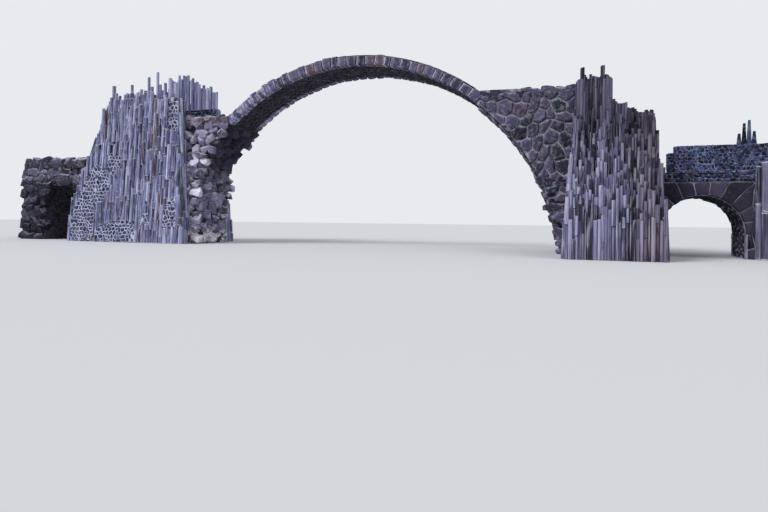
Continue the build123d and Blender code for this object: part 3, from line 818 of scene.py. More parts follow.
@dataclass
class StoneField:
    """Rubble stones fitted to an outline on a surface, with mortar joints between them."""

    name: str
    surface: FlatFace | ProfileFace
    outline: list[Point] | tuple[Point, ...]
    finish: Basalt
    slot: str
    cell: float
    joint: float = 0.045
    relief: float = 0.055
    shoulder: float = 0.16
    stretch: float = 1.0
    jitter: float = 0.34
    lean: float = 0.12
    rounds: int = 1
    corner: float = 0.0
    coursed: float = 0.0
    seed: int = 1

    # Shares of the cell's size, or of its area and its rim squared
    WAVE = 0.15
    SNAP = 0.28
    MERGE = 0.13
    ROUNDING = 0.03
    TOO_LONG = 2.3
    TOO_SMALL = 0.12
    TOO_SLIM = 0.028
    # Sharpest turn in radians that a cell passes over; share of the relief at its steep rim
    SHARP_TURN = 0.4
    STEEP = 0.7

    def honeycomb(self) -> bpy.types.Object:
        """A sheet of six-sided cells over the outline, in its own u and v."""
        low, high = np.min(self.outline, axis=0), np.max(self.outline, axis=0)
        radius = self.cell / math.sqrt(3)
        sheet = add(bpy.ops.mesh.primitive_circle_add, self.name, vertices=6, radius=radius, fill_type="NGON")
        with edit_mode(sheet, "FACE"):
            bpy.ops.mesh.duplicate_move(TRANSFORM_OT_translate={"value": (self.cell / 2, radius * 1.5, 0)})
        columns = math.ceil((high[0] - low[0]) / self.cell) + 3
        rows = math.ceil((high[1] - low[1]) / self.stretch / (radius * 3)) + 2
        for count, offset in ((columns, (self.cell, 0, 0)), (rows, (0, radius * 3, 0))):
            apply_modifier(
                sheet, "ARRAY", count=count, use_relative_offset=False, use_constant_offset=True,
                constant_offset_displace=offset,
            )
        with edit_mode(sheet):
            bpy.ops.mesh.remove_doubles(threshold=self.cell * 0.02)
        points = points_of(sheet)
        course = radius * 1.5
        middle = (np.floor(points[:, 1] / course) + 0.5) * course
        points[:, 1] += (middle - points[:, 1]) * self.coursed
        points[:, 1] *= self.stretch
        points[:, :2] += low - np.array([self.cell, radius * self.stretch])
        move_points(sheet, points)
        return sheet

    def loosen(self, sheet: bpy.types.Object) -> None:
        """Make the cells uneven in size and shape."""
        draw = np.random.default_rng(self.seed)
        points = points_of(sheet)
        flat = points[:, :2].copy()
        for _ in range(3):
            turn = draw.uniform(0, math.tau)
            wave = np.array([math.cos(turn), math.sin(turn)])
            phase = flat @ wave * math.tau / (self.cell * draw.uniform(2.2, 5)) + draw.uniform(0, math.tau)
            push = draw.uniform(0, math.tau)
            points[:, :2] += np.outer(np.sin(phase), (math.cos(push), math.sin(push))) * self.WAVE * self.cell
        shake = draw.uniform(-1, 1, (len(points), 2)) * self.jitter * self.cell * 0.5
        points[:, :2] += shake * (1, self.stretch)
        move_points(sheet, points)

    def trim(self, sheet: bpy.types.Object) -> None:
        """Fit the sheet to the outline: cells over its edge end on it, cells beyond it and slivers go."""
        outline = np.array(self.outline, float)
        points = points_of(sheet)
        flat = points[:, :2]
        within = inside_of(outline, flat)
        distance, place = nearest_on(outline, flat)
        held = within & (distance > self.cell * self.SNAP)
        keep = np.array([held[list(p.vertices)].any() for p in sheet.data.polygons])
        flat[~held] = place[~held]
        legs_in = outline - np.roll(outline, 1, axis=0)
        legs_out = np.roll(outline, -1, axis=0) - outline
        for corner, before, after in zip(outline, legs_in, legs_out):
            turn = abs(math.remainder(math.atan2(after[1], after[0]) - math.atan2(before[1], before[0]), math.tau))
            if turn > self.SHARP_TURN:
                flat[np.argmin(np.linalg.norm(flat - corner, axis=1) + held * self.cell)] = corner
        move_points(sheet, points)
        delete_faces(sheet, ~keep)
        with edit_mode(sheet):
            bpy.ops.mesh.remove_doubles(threshold=self.cell * self.MERGE)
        mesh = sheet.data
        areas = np.array([p.area for p in mesh.polygons])
        corners = [[mesh.vertices[i].co for i in p.vertices] for p in mesh.polygons]
        rims = np.array([sum((a - b).length for a, b in zip(c, c[1:] + c[:1])) for c in corners])
        small = areas < self.cell**2 * self.stretch * self.TOO_SMALL
        delete_faces(sheet, small | (areas < rims**2 * self.TOO_SLIM))

    def swell_stones(self, sheet: bpy.types.Object) -> None:
        """Part the cells by their joints and raise each one as a rounded stone."""
        with edit_mode(sheet, "FACE"):
            bpy.ops.mesh.edge_split(type="EDGE")
            bpy.ops.mesh.select_all(action="SELECT")
            bpy.ops.mesh.inset(use_individual=True, thickness=self.joint / 2, depth=0)
            bpy.ops.mesh.select_all(action="INVERT")
            bpy.ops.mesh.delete(type="FACE")
            bpy.ops.mesh.select_all(action="SELECT")
            if self.corner:
                bpy.ops.mesh.bevel(offset=self.cell * self.corner, segments=2, affect="VERTICES", clamp_overlap=True)
                bpy.ops.mesh.select_all(action="SELECT")
            for width, rise in ((self.ROUNDING, self.STEEP), (self.shoulder, 1 - self.STEEP)):
                bpy.ops.mesh.inset(use_individual=True, thickness=self.cell * width, depth=self.relief * rise)
        self.drop_strays(sheet)
        if self.rounds:
            apply_modifier(sheet, "SUBSURF", levels=self.rounds, render_levels=self.rounds)

    def drop_strays(self, sheet: bpy.types.Object) -> None:
        """Take away stones that the insets have turned over."""
        labels = islands(sheet)
        low, high = limits(labels, points_of(sheet)[:, :2] / (1, self.stretch))
        stray = (high - low).max(1) > self.cell * self.TOO_LONG
        LOG.info("%s: %d stones, %d dropped", self.name, len(stray), stray.sum())
        delete_faces(sheet, np.array([stray[labels[p.vertices[0]]] for p in sheet.data.polygons]))

    def lay(self, sheet: bpy.types.Object) -> None:
        """Vary the stones' heights and lay them on the surface."""
        draw = np.random.default_rng(self.seed + 100)
        labels = tone_islands(sheet, self.seed + 200)
        points = points_of(sheet)
        outline = np.array(self.outline, float)
        beyond = ~inside_of(outline, points[:, :2])
        points[beyond, :2] = nearest_on(outline, points[beyond, :2])[1]
        # How high each point stands on its stone; the finish darkens the low parts with painted shade
        rise = np.clip(points[:, 2] / self.relief, 0, 1)
        set_attribute(sheet, "rise", rise)
        count = labels.max() + 1
        sizes = np.bincount(labels)
        centres = np.stack([np.bincount(labels, points[:, i]) / sizes for i in (0, 1)], 1)
        slopes = draw.uniform(-self.lean, self.lean, (count, 2))
        offsets = points[:, :2] - centres[labels]
        height = rise * self.relief * draw.uniform(0.72, 1.0, count)[labels]
        height += (offsets * slopes[labels]).sum(1) * rise
        height = np.minimum(height, self.relief * 1.02) - (1 - rise) * 0.012
        if self.surface.handed() < 0:
            sheet.data.flip_normals()
        move_points(sheet, self.surface.place(points[:, 0], points[:, 1], height))

    def build(self) -> None:
        """Build and dress the field."""
        sheet = self.honeycomb()
        self.loosen(sheet)
        self.trim(sheet)
        self.swell_stones(sheet)
        self.lay(sheet)
        finish_piece(sheet, self.finish, self.slot, angle=62)


@dataclass(frozen=True)
class Cut:
    """Measures of one kind of rock, least and most, in metres and radians."""

    size: Point = (0.36, 0.54)
    height: Point = (0.26, 0.42)
    thickness: Point = (0.34, 0.5)
    sunk: Point = (-0.12, 0.04)
    pitch: Point = (0.4, 0.33)
    shake: float = 0.3
    tilt: float = 0.4


PIER_ROCKS = Cut()
PIER_KERB = Cut((0.4, 0.6), (0.26, 0.4), (0.34, 0.46), (-0.1, 0.0), (0.36, 0.3), 0.2)
PIER_INSIDE = Cut((0.32, 0.46), (0.4, 0.6), (0.34, 0.5), (-0.14, 0.0), (0.3, 0.4))
KERB_BLOCKS = Cut((0.48, 0.58), (0.3, 0.34), (0.36, 0.4), (-0.09, -0.06), (0.42, 0.3), 0.05, 0.08)
FOOT_BLOCKS = Cut((0.5, 0.58), (0.27, 0.31), (0.28, 0.32), (-0.07, -0.03), (0.53, 0.29), 0.04, 0.05)
INSIDE_BLOCKS = Cut((0.27, 0.32), (0.5, 0.62), (0.4, 0.5), (-0.1, 0.02), (0.29, 0.56), 0.04, 0.05)
WING_ROCKS = Cut((0.52, 0.8), (0.42, 0.58), (0.34, 0.46), (-0.1, 0.02), (0.42, 0.34), 0.25)
EDGE_ROCKS = Cut((0.6, 0.86), (0.42, 0.6), (0.4, 0.5), (-0.1, 0.06), (0.56, 0.42), 0.18, 0.3)


class RockKit:
    """A few angular rocks, copied wherever rubble juts out of a face."""

    SEED = 9
    CUTS = 9

    def __init__(self) -> None:
        """Model the rocks once."""
        self.draw = np.random.default_rng(self.SEED)
        self.rocks = [self.model() for _ in range(6)]

    def model(self) -> tuple[np.ndarray, list[list[int]]]:
        """Hew one rock of about unit size from a cube.

        Returns:
            Its points and its faces.
        """
        rock = add(bpy.ops.mesh.primitive_cube_add, "rock", size=1)
        with edit_mode(rock):
            for _ in range(self.CUTS):
                normal = Vector(self.draw.normal(size=3)).normalized()
                reach = self.draw.uniform(0.4, 0.55)
                bpy.ops.mesh.select_all(action="SELECT")
                bpy.ops.mesh.bisect(plane_co=normal * reach, plane_no=normal, clear_outer=True, use_fill=True)
            bpy.ops.mesh.select_all(action="SELECT")
            bpy.ops.mesh.remove_doubles(threshold=0.05)
        with edit_mode(rock, "EDGE"):
            bpy.ops.mesh.bevel(offset=0.03, segments=1, affect="EDGES")
        with edit_mode(rock, "FACE"):
            bpy.ops.mesh.normals_make_consistent(inside=False)
        return take_shape(rock)


@dataclass
class Rockery:
    """Angular rocks half sunk in a surface, row over row."""

    name: str
    surface: FlatFace | ProfileFace
    outline: list[Point]
    finish: Basalt
    cut: Cut
    seed: int
    kit: RockKit

    def centres(self, draw: np.random.Generator) -> np.ndarray:
        """The middles of the rocks inside the outline.

        Args:
            draw: source of their unevenness.

        Returns:
            Their places on the surface.
        """
        outline = np.array(self.outline, float)
        low, high = outline.min(0), outline.max(0)
        across, up = self.cut.pitch
        rows = []
        for j, v in enumerate(np.arange(low[1] + up * 0.4, high[1], up)):
            u = np.arange(low[0] + across * (0.25 + 0.5 * (j % 2)), high[0], across)
            rows.append(np.stack([u, np.full(len(u), v)], 1))
        spots = np.concatenate(rows)
        spots += draw.uniform(-self.cut.shake, self.cut.shake, spots.shape) * self.cut.pitch
        return spots[inside_of(outline, spots)]

    def build(self) -> None:
        """Lay the rocks as one joined mesh and dress it."""
        draw = np.random.default_rng(self.seed)
        cut, pile = self.cut, Pile()
        for spot in self.centres(draw):
            shape, faces = self.kit.rocks[draw.integers(len(self.kit.rocks))]
            scale = [draw.uniform(*span) for span in (cut.size, cut.height, cut.thickness)]
            turn = turned(draw.uniform(-cut.tilt, cut.tilt), draw.uniform(-cut.tilt, cut.tilt))
            roll = turned(draw.integers(4) * math.pi / 2, draw.integers(4) * math.pi / 2)
            placed = (shape @ roll * scale) @ turn + (*spot, draw.uniform(*cut.sunk))
            pile.add(placed, faces, draw.random())
        joined = np.concatenate(pile.points)
        rocks = pile.join(self.name, self.surface.place(*joined.T))
        if self.surface.handed() < 0:
            rocks.data.flip_normals()
        # How far each point stands out of the bed; the finish darkens the low parts with painted shade
        set_attribute(rocks, "rise", np.clip((joined[:, 2] + 0.04) / 0.14, 0, 1))
        finish_piece(rocks, self.finish, "basalt_rubble", angle=25)


# Basalt columns


@dataclass
class Laid:
    """One column's place: foot, directions, length, width, tone and how pale its ends are."""

    foot: np.ndarray
    up: np.ndarray
    out: np.ndarray
    length: float
    width: float
    tone: float
    ends: float = 1.0


def free_column(foot: Triple, y: int, tip: float, width: float, tone: float, ends: float) -> Laid:
    """An upright column by its foot and the height of its tip, turned to one long face."""
    return Laid(np.array(foot), np.array([0, 0, 1.0]), np.array([0, y, 0.0]), tip - foot[2], width, tone, ends)


class ColumnKit:
    """A few columns of irregular outline, copied wherever columns stand."""

    HALF = 2.0
    SEED = 5
    SIDES = (6, 6, 5, 7, 6)

    def __init__(self) -> None:
        """Model the columns once."""
        self.draw = np.random.default_rng(self.SEED)
        self.patterns = [self.model(sides) for sides in self.SIDES]

    def model(self, sides: int) -> tuple[np.ndarray, list[list[int]]]:
        """Model one column of unit width, four widths long.

        Args:
            sides: number of its sides.

        Returns:
            Its points and its faces.
        """
        column = add(
            bpy.ops.mesh.primitive_cylinder_add, "column", vertices=sides, radius=0.56, depth=2 * self.HALF
        )
        shape = points_of(column)
        angles = np.arctan2(shape[:, 1], shape[:, 0]).round(3)
        for angle in np.unique(angles):
            shape[angles == angle, :2] *= self.draw.uniform(0.9, 1.08)
        move_points(column, shape)
        with edit_mode(column, "EDGE"):
            bpy.ops.mesh.bevel(offset=0.055, segments=1, affect="EDGES")
        with edit_mode(column):
            for place in (-1, 1):
                bpy.ops.mesh.select_all(action="SELECT")
                bpy.ops.mesh.bisect(plane_co=(0, 0, place * (self.HALF - 0.32)), plane_no=(0, 0, 1))
        return take_shape(column)

    def lay(self, name: str, places: list[Laid], seed: int, finish: Basalt, node: str) -> None:
        """Lay copies of the columns as one joined mesh and dress it.

        Args:
            name: the piece's name.
            places: where each column stands.
            seed: seed of turn and choice.
            finish: what the columns are made of.
            node: the CAD node that they stand for.
        """
        draw = np.random.default_rng(seed)
        pile, all_ends = Pile(), []
        for spot in places:
            shape, faces = self.patterns[draw.integers(len(self.patterns))]
            all_ends.append(np.clip((np.abs(shape[:, 2]) - self.HALF + 0.33) / 0.2, 0, 1) * spot.ends)
            local = shape.copy()
            local[:, :2] *= spot.width
            from_end = (self.HALF - np.abs(local[:, 2])) * spot.width
            local[:, 2] = np.sign(local[:, 2]) * (spot.length / 2 - from_end)
            local[:, 2] += local[:, 0] * draw.uniform(-0.25, 0.25) * np.sign(local[:, 2])
            turn = draw.uniform(-0.5, 0.5)
            spin = np.array([[math.cos(turn), math.sin(turn)], [-math.sin(turn), math.cos(turn)]])
            local[:, :2] = local[:, :2] @ spin
            axes = np.array([np.cross(spot.up, spot.out), -spot.out, spot.up])
            middle = spot.foot + spot.up * spot.length / 2
            pile.add(local @ axes + middle, faces, spot.tone)
        joined = np.concatenate(pile.points)
        joined[:, 2] = np.maximum(joined[:, 2], 0)
        joined[:, 1] = np.clip(joined[:, 1], CAD_BOX[0].y, CAD_BOX[1].y)
        bundle = pile.join(name, joined)
        set_attribute(bundle, "end", np.concatenate(all_ends))
        set_attribute(bundle, "rise", np.ones(len(joined)))
        finish_piece(bundle, finish, "basalt_columns", node)


def level(height: float) -> Height:
    """The same height at every place."""
    return lambda place: height


def line_through(*points: Point) -> Height:
    """The height by place of a line through points."""
    places, heights = zip(*points)
    return lambda place: float(np.interp(place, places, heights))


@dataclass
class ColumnScreen:
    """Files of stacked columns before a face, each file from its foot up to its own top."""

    face: FlatFace
    start: float
    end: float
    top: Height
    foot: Height = level(0.0)
    widths: Point = (0.115, 0.165)
    lengths: Point = (0.55, 2.3)
    proud: Point = (0.05, 0.13)
    gaps: tuple[tuple[Point, ...], ...] = ()
    unevenness: Point = (-0.05, 0.25)
    hollows: float = 0.0
    ends: float = 1.0
    files: int = 0
    seed: int = 1

    RAGGED = (-0.03, 0.22)

    def spans(self, place: float, low: float, high: float, draw: np.random.Generator) -> list[Point]:
        """The lengths of a file that its gaps leave free.

        Args:
            place: where the file stands.
            low: its foot.
            high: its top.
            draw: source of uneven edges.

        Returns:
            The free spans, from the foot up.
        """
        free = [(low, high)]
        for gap in self.gaps:
            hits = []
            for (ax, ay), (bx, by) in zip(gap, gap[1:] + gap[:1]):
                if (ax - place) * (bx - place) < 0:
                    hits.append(ay + (by - ay) * (place - ax) / (bx - ax))
            if len(hits) >= 2:
                under = min(hits) + draw.uniform(*self.RAGGED)
                over = max(hits) - draw.uniform(*self.RAGGED)
                parts = [part for a, b in free for part in ((a, min(b, under)), (max(a, over), b))]
                free = [part for part in parts if part[1] - part[0] > 0.15]
        return free

    def places(self) -> list[Laid]:
        """Where every column of the screen stands."""
        draw = np.random.default_rng(self.seed)
        pace = np.random.default_rng(self.files) if self.files else draw
        up, out = (np.array(axis, float) / np.linalg.norm(axis) for axis in (self.face.up, self.face.out))
        laid = []
        place = self.start
        while place < self.end:
            width = pace.uniform(*self.widths)
            shade = pace.random() if self.files else 0.0
            middle = place + width / 2
            top = self.top(middle) + draw.uniform(*self.unevenness)
            for low, high in self.spans(middle, self.foot(middle), top, draw):
                while high - low > 0.12:
                    length = draw.uniform(*self.lengths)
                    if high - low - length < self.lengths[0] * 0.6:
                        length = high - low
                    depth = draw.uniform(*self.proud) - width * 0.5
                    spot = self.face.place(*np.array([[middle], [low], [depth]]))[0]
                    wide = width * draw.uniform(0.95, 1.12)
                    tone = float(draw.random())
                    if self.files and draw.random() < 0.6:
                        tone = min(max(shade + draw.uniform(-0.12, 0.12), 0), 1)
                    laid.append(Laid(spot, up, out, length, wide, tone, self.ends))
                    low += length + draw.uniform(0.004, 0.02)
                    if draw.random() < self.hollows:
                        low += draw.uniform(0.06, 0.22)
            place += width
        return laid


# Arch and abutments


def on_arch(radius: float, angle: float) -> Point:
    """Point (x, z) on a circle about the arch's centre, the angle from the crown in degrees."""
    turn = math.radians(angle)
    return radius * math.sin(turn), radius * math.cos(turn) - ARCH_DROP


def arch_line(radius: float, first: float, last: float, steps: int) -> list[Point]:
    """Points on a circle about the arch's centre, from one angle to another."""
    return [on_arch(radius, first + (last - first) * i / steps) for i in range(steps + 1)]


def arch_angle(radius: float, height: float) -> float:
    """Angle from the crown at which a circle about the arch's centre is at a height."""
    return math.degrees(math.acos((height + ARCH_DROP) / radius))


@dataclass
class Masonry:
    """Rubble at one end of the bridge: its name, side in X, stone, mortar, first seed and rocks."""

    name: str
    side: int
    finish: Basalt
    mortar: Mortar
    seed: int
    kit: RockKit

    def rocks(
        self, part: str, surface: FlatFace | ProfileFace, outline: list[Point], cut: Cut, seed: int,
        finish: Basalt | None = None,
    ) -> None:
        """Lay rocks on one of its faces.

        Args:
            part: the piece's name without that of the masonry.
            surface: the face.
            outline: the part of the face that they cover.
            cut: the rocks' measures.
            seed: their seed, counted from the masonry's.
            finish: what they are made of, where it isn't the masonry's stone.
        """
        name = f"{self.name}_{part}"
        Rockery(name, surface, outline, finish or self.finish, cut, self.seed + seed, self.kit).build()

    def stones(
        self, part: str, surface: FlatFace | ProfileFace, outline: list[Point], seed: int,
        finish: Basalt | None = None, slot: str = "basalt_rubble", **sizes: float,
    ) -> None:
        """Fit stones to one of its faces.

        Args:
            part: the piece's name without that of the masonry.
            surface: the face.
            outline: the part of the face that they cover.
            seed: their seed, counted from the masonry's.
            finish: what they are made of, where it isn't the masonry's stone.
            slot: the record's material slot.
            sizes: the stones' measures.
        """
        name = f"{self.name}_{part}"
        StoneField(name, surface, outline, finish or self.finish, slot, seed=self.seed + seed, **sizes).build()


@dataclass
class Abutment(Masonry):
    """The rubble between the arch and one pair of clusters."""

    node: str
    deck: float
    outer: float
    batter: tuple[Point, ...] = ()
    arch_foot: float = 0.0
    sunk: float = BED
    courses: float = 0.0

    def __post_init__(self) -> None:
        """Find the edge along the arch, and the outlines of face, foot courses and kerb."""
        first = arch_angle(ARCH_RADIUS, self.arch_foot)
        last = arch_angle(OUTER_RADIUS + PAVING, self.deck)
        self.inner = [*self.batter, *arch_line(ARCH_RADIUS, first, last, 16)]
        top = on_arch(OUTER_RADIUS, last)
        rim = self.deck - 0.03
        upper = [p for p in self.inner if p[1] >= self.courses]
        if self.courses:
            places, heights = zip(*self.inner)
            upper.insert(0, (float(np.interp(self.courses, heights, places)), self.courses))
        far = [(self.outer, self.courses), (self.outer, 0)]
        face = [*upper, top, (top[0] + 0.05, rim), (self.outer, rim), far[0]]
        self.face = flip(self.side, face)
        self.foot = flip(self.side, [*[p for p in self.inner if p[1] < self.courses], upper[0], *far])
        self.kerb = flip(self.side, rectangle(top[0], self.deck - 0.18, self.outer, self.deck + 0.1))
        self.inside = ProfileFace(flip(self.side, [(x + self.sunk, z) for x, z in self.inner]), -self.side)
        self.half = HALF_WIDTH - self.sunk

    def bed(self) -> None:
        """The mortar behind the stones, from the CAD solid."""
        bed = copy_node(self.node, self.name + "_mortar")
        points = points_of(bed)
        points[:, 1] = np.sign(points[:, 1]) * self.half
        line = np.array(flip(self.side, self.inner))
        for point in points:
            gap = np.linalg.norm(line - point[[0, 2]], axis=1).min()
            if gap < 0.3 and point[2] < self.deck - 0.4 and abs(point[0]) < ARCH_RADIUS:
                point[0] += self.side * self.sunk
        move_points(bed, points)
        finish_piece(bed, self.mortar, "basalt_rubble", self.node)


class RockyPier(Abutment):
    """A pier of angular rocks, in shade under the arch."""

    def build(self) -> None:
        """Build the pier's pieces."""
        self.bed()
        for side in Side:
            y, surface = side.value, long_face(side.value * self.half, side.value)
            self.rocks(f"{side.label}_rocks", surface, self.face, PIER_ROCKS, y)
            self.rocks(f"{side.label}_kerb_rocks", surface, self.kerb, PIER_KERB, 2 + y)
        # The inner rocks take the shaded copy of the pier's stone: painted shade under the arch
        self.rocks("inner_rocks", self.inside, self.inside.strip(self.half), PIER_INSIDE, 7, SHADED_STONES)


class RubblePier(Abutment):
    """A pier of fitted rubble on courses of blocks."""

    FOOT_SHARE = 0.36

    def build(self) -> None:
        """Build the pier's pieces."""
        self.bed()
        sizes = {"cell": 0.43, "joint": 0.034, "relief": 0.15, "lean": 0.35}
        for side in Side:
            y, surface = side.value, long_face(side.value * self.half, side.value)
            self.stones(
                f"{side.label}_stones", surface, self.face, y, stretch=1.1, corner=0.06, shoulder=0.15, **sizes
            )
            self.rocks(f"{side.label}_kerb_rocks", surface, self.kerb, KERB_BLOCKS, 2 + y)
            self.rocks(f"{side.label}_foot_blocks", surface, self.foot, FOOT_BLOCKS, 4 + y)
        start = self.inside.length() * self.FOOT_SHARE
        foot = rectangle(0.0, -self.half, start, self.half)
        self.rocks("inner_foot_blocks", self.inside, foot, INSIDE_BLOCKS, 9)
        self.stones("inner_stones", self.inside, self.inside.strip(self.half, start), 7, shoulder=0.12, **sizes)


@dataclass
class Arch:
    """The round arch: ring stones of both faces, rubble soffit, mortar and paving."""

    left_deck: float = 5.33
    right_deck: float = 5.57
    ring_reach: float = 0.35
    joint_extra: float = 0.016
    outer_ends: Point = (-0.04, 0.045)
    inner_ends: Point = (0, 0.035)
    set_back: float = 0.035
    worn: float = 0.036
    lumps: float = 0.026
    lump_size: float = 0.16
    rim: float = 0.07
    cell: float = 0.3
    kerb: float = 0.96

    SLICES = 90

    def __post_init__(self) -> None:
        """Find the two haunches."""
        self.start = -arch_angle(OUTER_RADIUS + PAVING, self.left_deck)
        self.end = arch_angle(OUTER_RADIUS + PAVING, self.right_deck)

    def sweep(self, radius: float, out_sign: float) -> ProfileFace:
        """The face round the arch at a radius, facing in (1) or out (-1)."""
        return ProfileFace(arch_line(radius, self.start, self.end, 60), out_sign)

    def slab(self, name: str, radii: Point, across: Point, finish: Mortar, slot: str, *replaced: str) -> None:
        """A curved slab round the arch.

        Args:
            name: the piece's name.
            radii: inner and outer radius.
            across: lowest and highest Y.
            finish: what it is made of.
            slot: the record's material slot.
            replaced: the CAD nodes that it stands for.
        """
        slab = add(bpy.ops.mesh.primitive_cube_add, name, size=1)
        with edit_mode(slab):
            for i in range(1, self.SLICES):
                bpy.ops.mesh.select_all(action="SELECT")
                bpy.ops.mesh.bisect(plane_co=(i / self.SLICES - 0.5, 0, 0), plane_no=(1, 0, 0))
        points = points_of(slab) + 0.5
        angles = np.radians(self.start + (self.end - self.start) * points[:, 0])
        radius = radii[0] + (radii[1] - radii[0]) * points[:, 2]
        y = across[0] + (across[1] - across[0]) * points[:, 1]
        move_points(slab, np.stack([radius * np.sin(angles), y, radius * np.cos(angles) - ARCH_DROP], 1))
        finish_piece(slab, finish, slot, *replaced)

    def ring(self, face: Side) -> None:
        """The ring stones of one face, with the mortar between them.

        Args:
            face: the face of the bridge.
        """
        y, node = face.value, face.label + "_ring_stones"
        ring = copy_node(node, face.label + "_voussoirs")
        labels = islands(ring)
        points = points_of(ring)
        angles = np.arctan2(points[:, 0], points[:, 2] + ARCH_DROP)
        first, last = limits(labels, angles)
        angles += np.sign(((first + last) / 2)[labels] - angles) * self.joint_extra / ARCH_RADIUS
        radius = np.hypot(points[:, 0], points[:, 2] + ARCH_DROP)
        draw = np.random.default_rng(17 + y)
        count = len(first)
        rubbly = 1 + 1.8 * np.clip((-3 - points[:, 0]) / 1.5, 0, 1)
        outer, inner = (draw.uniform(*span, count)[labels] for span in (self.outer_ends, self.inner_ends))
        radius += np.where(radius > ARCH_RADIUS + RING_DEPTH / 2, outer * rubbly, inner)
        points[:, 0] = radius * np.sin(angles)
        points[:, 2] = radius * np.cos(angles) - ARCH_DROP
        showing = np.abs(points[:, 1]) > HALF_WIDTH - 0.01
        points[:, 1] -= np.where(showing, np.sign(points[:, 1]) * draw.uniform(0, self.set_back, count)[labels], 0)
        move_points(ring, points)
        wear(ring, self.worn, 2)
        roughen(ring, self.lumps, self.lump_size, 3 + y)
        points = points_of(ring)
        points[:, 1] = np.clip(points[:, 1], -HALF_WIDTH, HALF_WIDTH)
        move_points(ring, points)
        labels = tone_islands(ring, 30 + y)
        angles = np.arctan2(points[:, 0], points[:, 2] + ARCH_DROP)
        first, last = limits(labels, angles)
        # How far each point is from its stone's joints; the finish darkens near them with painted shade and puts a
        # painted highlight on the shoulders
        to_joint = np.minimum(angles - first[labels], last[labels] - angles) * ARCH_RADIUS
        set_attribute(ring, "rise", np.clip(to_joint / self.rim, 0, 1))
        finish_piece(ring, RING, "ring_stone", node, angle=40)
        across = sorted((y * (HALF_WIDTH - 0.05), y * (HALF_WIDTH - self.ring_reach - 0.02)))
        radii = (ARCH_RADIUS + 0.05, OUTER_RADIUS - 0.03)
        self.slab(face.label + "_ring_mortar", radii, tuple(across), JOINT_MORTAR, "ring_stone")

    def soffit(self) -> None:
        """The rubble of the barrel, seen from below."""
        bed, edge = ARCH_RADIUS + BED, HALF_WIDTH - self.ring_reach - 0.01
        nodes = ("vault_left", "vault_crown", "vault_right")
        self.slab("vault_mortar", (bed, OUTER_RADIUS - 0.002), (-edge, edge), DARK_MORTAR, "basalt_rubble", *nodes)
        surface = self.sweep(bed, 1)
        # Painted shade: the soffit's stones are nearly black
        StoneField(
            "vault_stones", surface, surface.strip(edge), SOFFIT_STONES, "basalt_rubble", cell=self.cell,
            relief=0.06, joint=0.035, lean=0.2, seed=61,
        ).build()

    def top(self) -> None:
        """The paving flags over the arch."""
        top = OUTER_RADIUS + PAVING
        radii, edge = (OUTER_RADIUS, top - 0.02), (-self.kerb, self.kerb)
        self.slab("arch_paving_bed", radii, edge, DARK_MORTAR, "paving", "arch_paving")
        surface = self.sweep(top - 0.024, -1)
        lay_flags("arch_flags", surface, surface.strip(self.kerb - 0.01), self.cell, 0.022, 71)

    def build(self) -> None:
        """Build the arch's pieces."""
        for face in Side:
            self.ring(face)
        self.soffit()
        self.top()


# Clusters of columns


